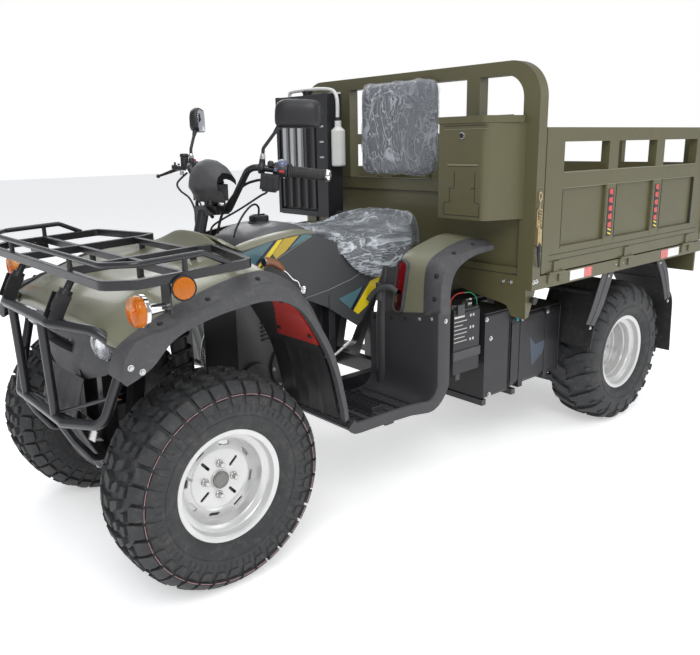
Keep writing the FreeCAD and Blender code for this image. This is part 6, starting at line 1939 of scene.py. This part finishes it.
cooler.tube(smooth_line([at(-1.092, -0.600, 1.478), at(-1.092, -0.600, 1.500),
                         at(-1.092, -0.560, 1.508), at(-1.092, -0.35, 1.505),
                         at(-1.085, -0.262, 1.475), at(-1.088, -0.260, 1.372)], 5), 0.008, 12, 2)
for y0, y1 in ((-0.262, -0.350), (-0.262, -0.205)):
    cooler.tube([at(-1.092, y0 - 0.03, 0.965), at(-1.095, y1 + 0.02, 0.84)], 0.009, 12, 0)
cooler.lathe([(0, 0), (0, 0.013), (0.014, 0.012), (0.014, 0)], at(-1.090, -0.2598, 1.3705),
             (0, 0, 1), 24, 0)
cooler.piece("cooler_shroud", "chassis", ["black_plastic", "slat_pale", "white_plastic"],
             "radiator_metal", 35, 0.001, 1)


# Cargo bed: tapes, stickers, latches, hinges, pressings in painted shade and highlight, and the
# skirt below its front


GATE_FACE, WIRE_Y = 0.6665, 0.6745
POSTS = [(-1.697, -1.777), (-2.078, -2.158)]
for hand, sign in SIDES:
    tapes = Shape()
    for mat, x0, x1 in ((1, -1.474, -1.572), (0, -1.572, -1.631), (0, -2.206, -2.272),
                        (1, -2.272, -2.380)):
        span_box(tapes, (x0, 0.6645, 0.745), (x1, 0.6668, 0.783), sign, mat)
        for k in range(int(abs(x1 - x0) / 0.0085)):
            x = x0 - 0.0042 - 0.0085 * k
            span_box(tapes, (x, GATE_FACE, 0.746), (x - 0.0010, 0.6669, 0.782), sign, 1)
    tapes.piece(f"rail_tapes_{hand}", "bed", ["tape_red", "tape_white"], "bed_olive", 30)

    # gate: folded ribs at the bays, fold lines in painted shade, and on the left gate stickers on
    # the posts
    ribs = Shape()
    for x0, x1 in POSTS:
        for x, way in ((x0, 1), (x1, -1)):
            post = [at(x, 0.655, 0.868), at(x + way * 0.004, 0.655, 0.868),
                    at(x + way * 0.004, 0.655, 1.102), at(x, 0.655, 1.102)]
            ribs.prism(sided(post, sign), (0, sign * 0.0118, 0), 0)
        if sign < 0:
            continue
        middle = (x0 + x1) / 2
        span_box(ribs, (middle - 0.020, 0.6655, 0.893), (middle + 0.020, 0.6668, 1.083), sign,
                 1)
        for low, step, count, corners, mat in (
                (0.926, 0.033, 5,
                 ((-0.014, 0), (0.013, 0.006), (0.014, 0.022), (-0.012, 0.026)), 2),
                (0.897, 0.016, 2,
                 ((-0.015, 0), (0.012, 0.009), (0.010, 0.014), (-0.015, 0.006)), 3)):
            for j in range(count):
                chip = [at(middle + dx, GATE_FACE, low + step * j + dz) for dx, dz in corners]
                ribs.prism(sided(chip, sign), (0, sign * 0.0008, 0), mat)
    # fold lines across the lower board: dark strips of painted shade
    for z in (0.836, 0.858):
        span_box(ribs, (-1.325, 0.6648, z), (-2.530, 0.6667, z + 0.0022), sign, 4)
    # light olive strips along the upper edges: painted highlight
    for z in (1.1015, 1.158):
        span_box(ribs, (-1.392, 0.6648, z), (-2.465, 0.6668, z + 0.0025), sign, 5)
    # dark strips in the corners between the posts and the recessed panels: painted shade
    for x in (-1.392, -1.697, -1.777, -2.078, -2.158, -2.463):
        span_box(ribs, (x - 0.002, 0.652, 0.877), (x + 0.002, 0.6664, 1.094), sign, 4)
    ribs.piece(f"gate_details_{hand}", f"gate_{hand}",
               ["bed_olive", "sticker_black", "tape_red", "stripe_yellow", "seam_and_painted_shade",
                "painted_olive_highlight"], "bed_olive", 30)

    # latches: spring, toggle and black hook, on the front post and at the rear
    for end, body, x, way in (("front", "bed", -1.2420, 1), ("rear", "tailgate", -2.6060, -1)):
        latch = Shape()
        for wire, radius in (([(0.002, 1.098), (0.009, 1.088), (0.006, 1.070), (-0.003, 1.066),
                               (-0.008, 1.080), (-0.003, 1.094), (0.002, 1.098)], 0.0024),
                             ([(0.000, 1.068), (0.002, 1.045), (0.004, 1.038)], 0.0030)):
            line = smooth_line([at(x + way * dx, WIRE_Y, z) for dx, z in wire], 4)
            latch.tube(sided(line, sign), radius, 8)
        turns = [at(x + 0.006 * math.cos(0.55 * k), WIRE_Y + 0.0035 * math.sin(0.55 * k),
                    1.040 - 0.00105 * k) for k in range(90)]
        latch.tube(sided(turns, sign), 0.0016, 6, 0)
        for dx0, dx1, z in ((-0.013, -0.013, 0.975), (0.013, 0.013, 0.975),
                            (-0.013, 0.013, 1.035)):
            latch.tube(sided([at(x + dx0, 0.673, 1.035), at(x + dx1, 0.673, z)], sign), 0.0022, 8)
        span_box(latch, (x - 0.012, GATE_FACE, 0.905), (x + 0.012, 0.6790, 0.965), sign, 0)
        span_box(latch, (x - 0.008, GATE_FACE, 0.930), (x + 0.008, 0.6725, 1.000), sign, 0)
        for z in (0.918, 0.952, 0.990):
            latch.bolt(at(x, sign * (0.678 if z < 0.96 else 0.672), z), (0, sign, 0), 0.004, 0.003,
                       0, False)
        hook = smooth_line([at(x, 0.6760, 0.912), at(x + way * 0.004, 0.6790, 0.890),
                            at(x + way * 0.003, 0.6795, 0.866), at(x - way * 0.006, 0.6765, 0.838),
                            at(x - way * 0.010, 0.6730, 0.826)], 5)
        latch.tube(sided(hook, sign), [0.0075 - 0.0032 * i / 20 for i in range(21)], 10, 1)
        # light olive strips above and below each latch: painted highlight
        for z in (1.113, 0.900):
            span_box(latch, (x - 0.016, 0.6655, z), (x + 0.016, 0.6685, z + 0.0022), sign, 2)
        latch.piece(f"latch_{end}_{hand}", body, ["spring_gold", "black_plastic", "painted_olive_highlight"],
                    "bed_olive", 36)

    straps = Shape()
    for x, z in ((-1.2345, 0.770), (-1.2520, 0.771), (-2.6060, 0.770)):
        straps.bolt(at(x, sign * GATE_FACE, z), (0, sign, 0), 0.0062, 0.0048, 0)
    straps.bolt(at(-1.262, sign * GATE_FACE, 0.873), (0, sign, 0), 0.004, 0.005, 1)
    for x in (-1.371, -1.842, -2.460):
        for dx in (-0.030, 0.030):
            straps.bolt(at(x + dx, sign * GATE_FACE, 0.768), (0, sign, 0), 0.0045, 0.003,
                        0, False)
        # light olive strip over each hinge: painted highlight on its upper edge
        span_box(straps, (x - 0.040, 0.6655, 0.7775), (x + 0.040, 0.6670, 0.7795), sign, 1)
    straps.piece(f"hinge_plates_{hand}", "bed", ["bright_steel", "painted_olive_highlight"], "bed_olive", 30,
                 0.0004, 1)

# skirt below the front rail, with a tab at each corner
BED_FRONT = -1.2245
skirt = Shape()
for sign in (1, -1):
    front = [(0.300, 0.742), (0.300, 0.712), (0.420, 0.690), (0.528, 0.676), (0.556, 0.668),
             (0.580, 0.630), (0.640, 0.626), (0.640, 0.742)]
    skirt.prism(sided([at(BED_FRONT, y, z) for y, z in front], sign), (-0.003, 0, 0))
    side = [(BED_FRONT, 0.742), (BED_FRONT, 0.626), (-1.248, 0.632), (-1.262, 0.665),
            (-1.290, 0.742)]
    skirt.prism(sided([at(x, 0.6370, z) for x, z in side], sign), (0, sign * 0.003, 0))
skirt.box(at(-1.2275, -0.300, 0.712), at(BED_FRONT, 0.300, 0.742))
skirt.piece("front_skirt", "bed", ["bed_olive"], "bed_olive", 30, 0.0006, 1)

# front of the bed: post seams, corner bolts, rubber buffers
front = Shape()
for sign in (1, -1):
    for y, z in ((0.536, 0.760), (0.572, 0.761)):
        front.bolt(at(-1.2248, sign * y, z), (1, 0, 0), 0.0062, 0.0048, 0)
    span_box(front, (-1.2252, 0.596, 0.786), (-1.2243, 0.5985, 1.000), sign, 1)
    for y, z in ((0.556, 0.789), (0.586, 0.792)):
        span_box(front, (-1.2252, y - 0.008, z), (-1.2244, y + 0.008, z + 0.003), sign, 1)
    front.tube(sided([at(-1.262, 0.600, 0.700), at(-1.262, 0.652, 0.695)], sign), 0.0115, 16, 2)
    front.tube(sided([at(-1.262, 0.652, 0.695), at(-1.262, 0.659, 0.694)], sign), 0.0150, 16, 2)
    front.tube(sided([at(-1.262, 0.560, 0.700), at(-1.262, 0.600, 0.700)], sign), 0.006, 12, 0)
span_box(front, (-1.2252, -0.597, 0.789), (-1.2243, 0.597, 0.7915), 1, 1)
for z in (1.0795, 1.1275):
    span_box(front, (-1.2252, -0.597, z - 0.0012), (-1.2243, 0.597, z + 0.0012), 1, 1)
front.piece("bed_front_details", "bed", ["bright_steel", "seam_and_painted_shade", "black_rubber"], "bed_olive",
            34)

# locker: pressings drawn in painted shade and painted highlight, lock and its handle
locker = Shape()
FACE = -1.0650


# A strip along a pressing: the dark ones are painted shade, the light olive ones painted highlight.
def pressed(points, mat=1, wide=0.0022):
    for (y0, z0), (y1, z1) in zip(points, points[1:]):
        span_box(locker, (FACE - 0.0006, min(y0, y1) - wide / 2, min(z0, z1) - wide / 2),
                 (FACE + 0.0010, max(y0, y1) + wide / 2, max(z0, z1) + wide / 2), 1, mat)


pressed([(0.391, 1.193), (0.528, 1.195)], 0, 0.004)
pressed([(0.391, 1.1905), (0.528, 1.1905)])
for points in ([(0.422, 1.168), (0.422, 1.113)], [(0.422, 1.112), (0.400, 1.112)],
               [(0.400, 1.112), (0.400, 1.061)], [(0.400, 1.061), (0.374, 1.061)],
               [(0.374, 1.061), (0.374, 1.014)], [(0.374, 1.014), (0.540, 1.014)],
               [(0.518, 1.170), (0.518, 1.113)], [(0.498, 1.113), (0.518, 1.113)],
               [(0.518, 1.113), (0.518, 1.064)], [(0.518, 1.064), (0.540, 1.064)],
               [(0.540, 1.064), (0.540, 1.014)]):
    pressed(points)
for y0, z0, y1 in ((0.400, 1.1125, 0.422), (0.374, 1.0615, 0.398), (0.494, 1.1135, 0.518),
                   (0.520, 1.0645, 0.541)):
    pressed([(y0, z0), (y1, z0)], 0, 0.0034)
pressed([(0.372, 1.330), (0.570, 1.330)], 1, 0.0022)
pressed([(0.372, 1.318), (0.570, 1.318)], 0, 0.0022)
locker.tube([at(FACE - 0.001, 0.458, 1.296), at(FACE + 0.006, 0.458, 1.296)], 0.0125, 24, 2)
locker.tube([at(FACE + 0.006, 0.458, 1.296), at(FACE + 0.010, 0.458, 1.296)], 0.0085, 24, 3)
locker.box(at(FACE + 0.010, 0.4568, 1.290), at(FACE + 0.0105, 0.4592, 1.302), 3)
locker.piece("locker_details", "bed", ["painted_olive_highlight", "seam_and_painted_shade", "bright_steel", "black_plastic"],
             "bed_olive", 34)

# lamps on the tail board
tail = Shape()
for sign in (1, -1):
    span_box(tail, (-2.5615, 0.470, 0.668), (-2.5750, 0.640, 0.722), sign, 0)
    span_box(tail, (-2.5745, 0.480, 0.676), (-2.5790, 0.555, 0.714), sign, 1)
    span_box(tail, (-2.5745, 0.563, 0.676), (-2.5790, 0.630, 0.714), sign, 2)
tail.piece("tail_lamps", "bed", ["black_plastic", "tail_red", "amber_lamp_and_painted_highlight"], "bed_olive", 30,
           0.0015, 2)


# Rear guards: grey edge strips and straps

def strip(shape, outer, inner, y0, y1, sign):
    """A curved strip between two lines seen from the side."""
    outer, inner = (smooth_line([(x, z, 0) for x, z in line], 5) for line in (outer, inner))
    rings = [sided([at(a.x, y0, a.y), at(a.x, y1, a.y), at(b.x, y1, b.y), at(b.x, y0, b.y)], sign)
             for a, b in zip(outer, inner)]
    shape.rings(rings)


for hand, sign in SIDES:
    guard = Shape()
    for outer, inner in (([(-1.752, 0.732), (-1.722, 0.670), (-1.688, 0.600), (-1.650, 0.533)],
                          [(-1.842, 0.730), (-1.806, 0.655), (-1.768, 0.585), (-1.712, 0.516)]),
                         ([(-2.285, 0.732), (-2.330, 0.680), (-2.360, 0.610), (-2.386, 0.539)],
                          [(-2.215, 0.732), (-2.262, 0.670), (-2.302, 0.600), (-2.332, 0.532)])):
        strip(guard, outer, inner, 0.6425, 0.6465, sign)
        edge = [((a[0] + b[0]) / 2, (a[1] + b[1]) / 2) for a, b in zip(outer, inner)]
        guard.tube(sided(smooth_line([at(x, 0.647, z) for x, z in edge], 5), sign), 0.003, 8, 0)
        for x, z in (edge[0], edge[-1]):
            guard.bolt(at(x, sign * 0.6465, z - 0.012), (0, sign, 0), 0.005, 0.004, 1)
    guard.piece(f"guard_strips_{hand}", "chassis", ["grey_plastic", "bright_steel"],
                "black_rubber", 32, 0.0008, 1)
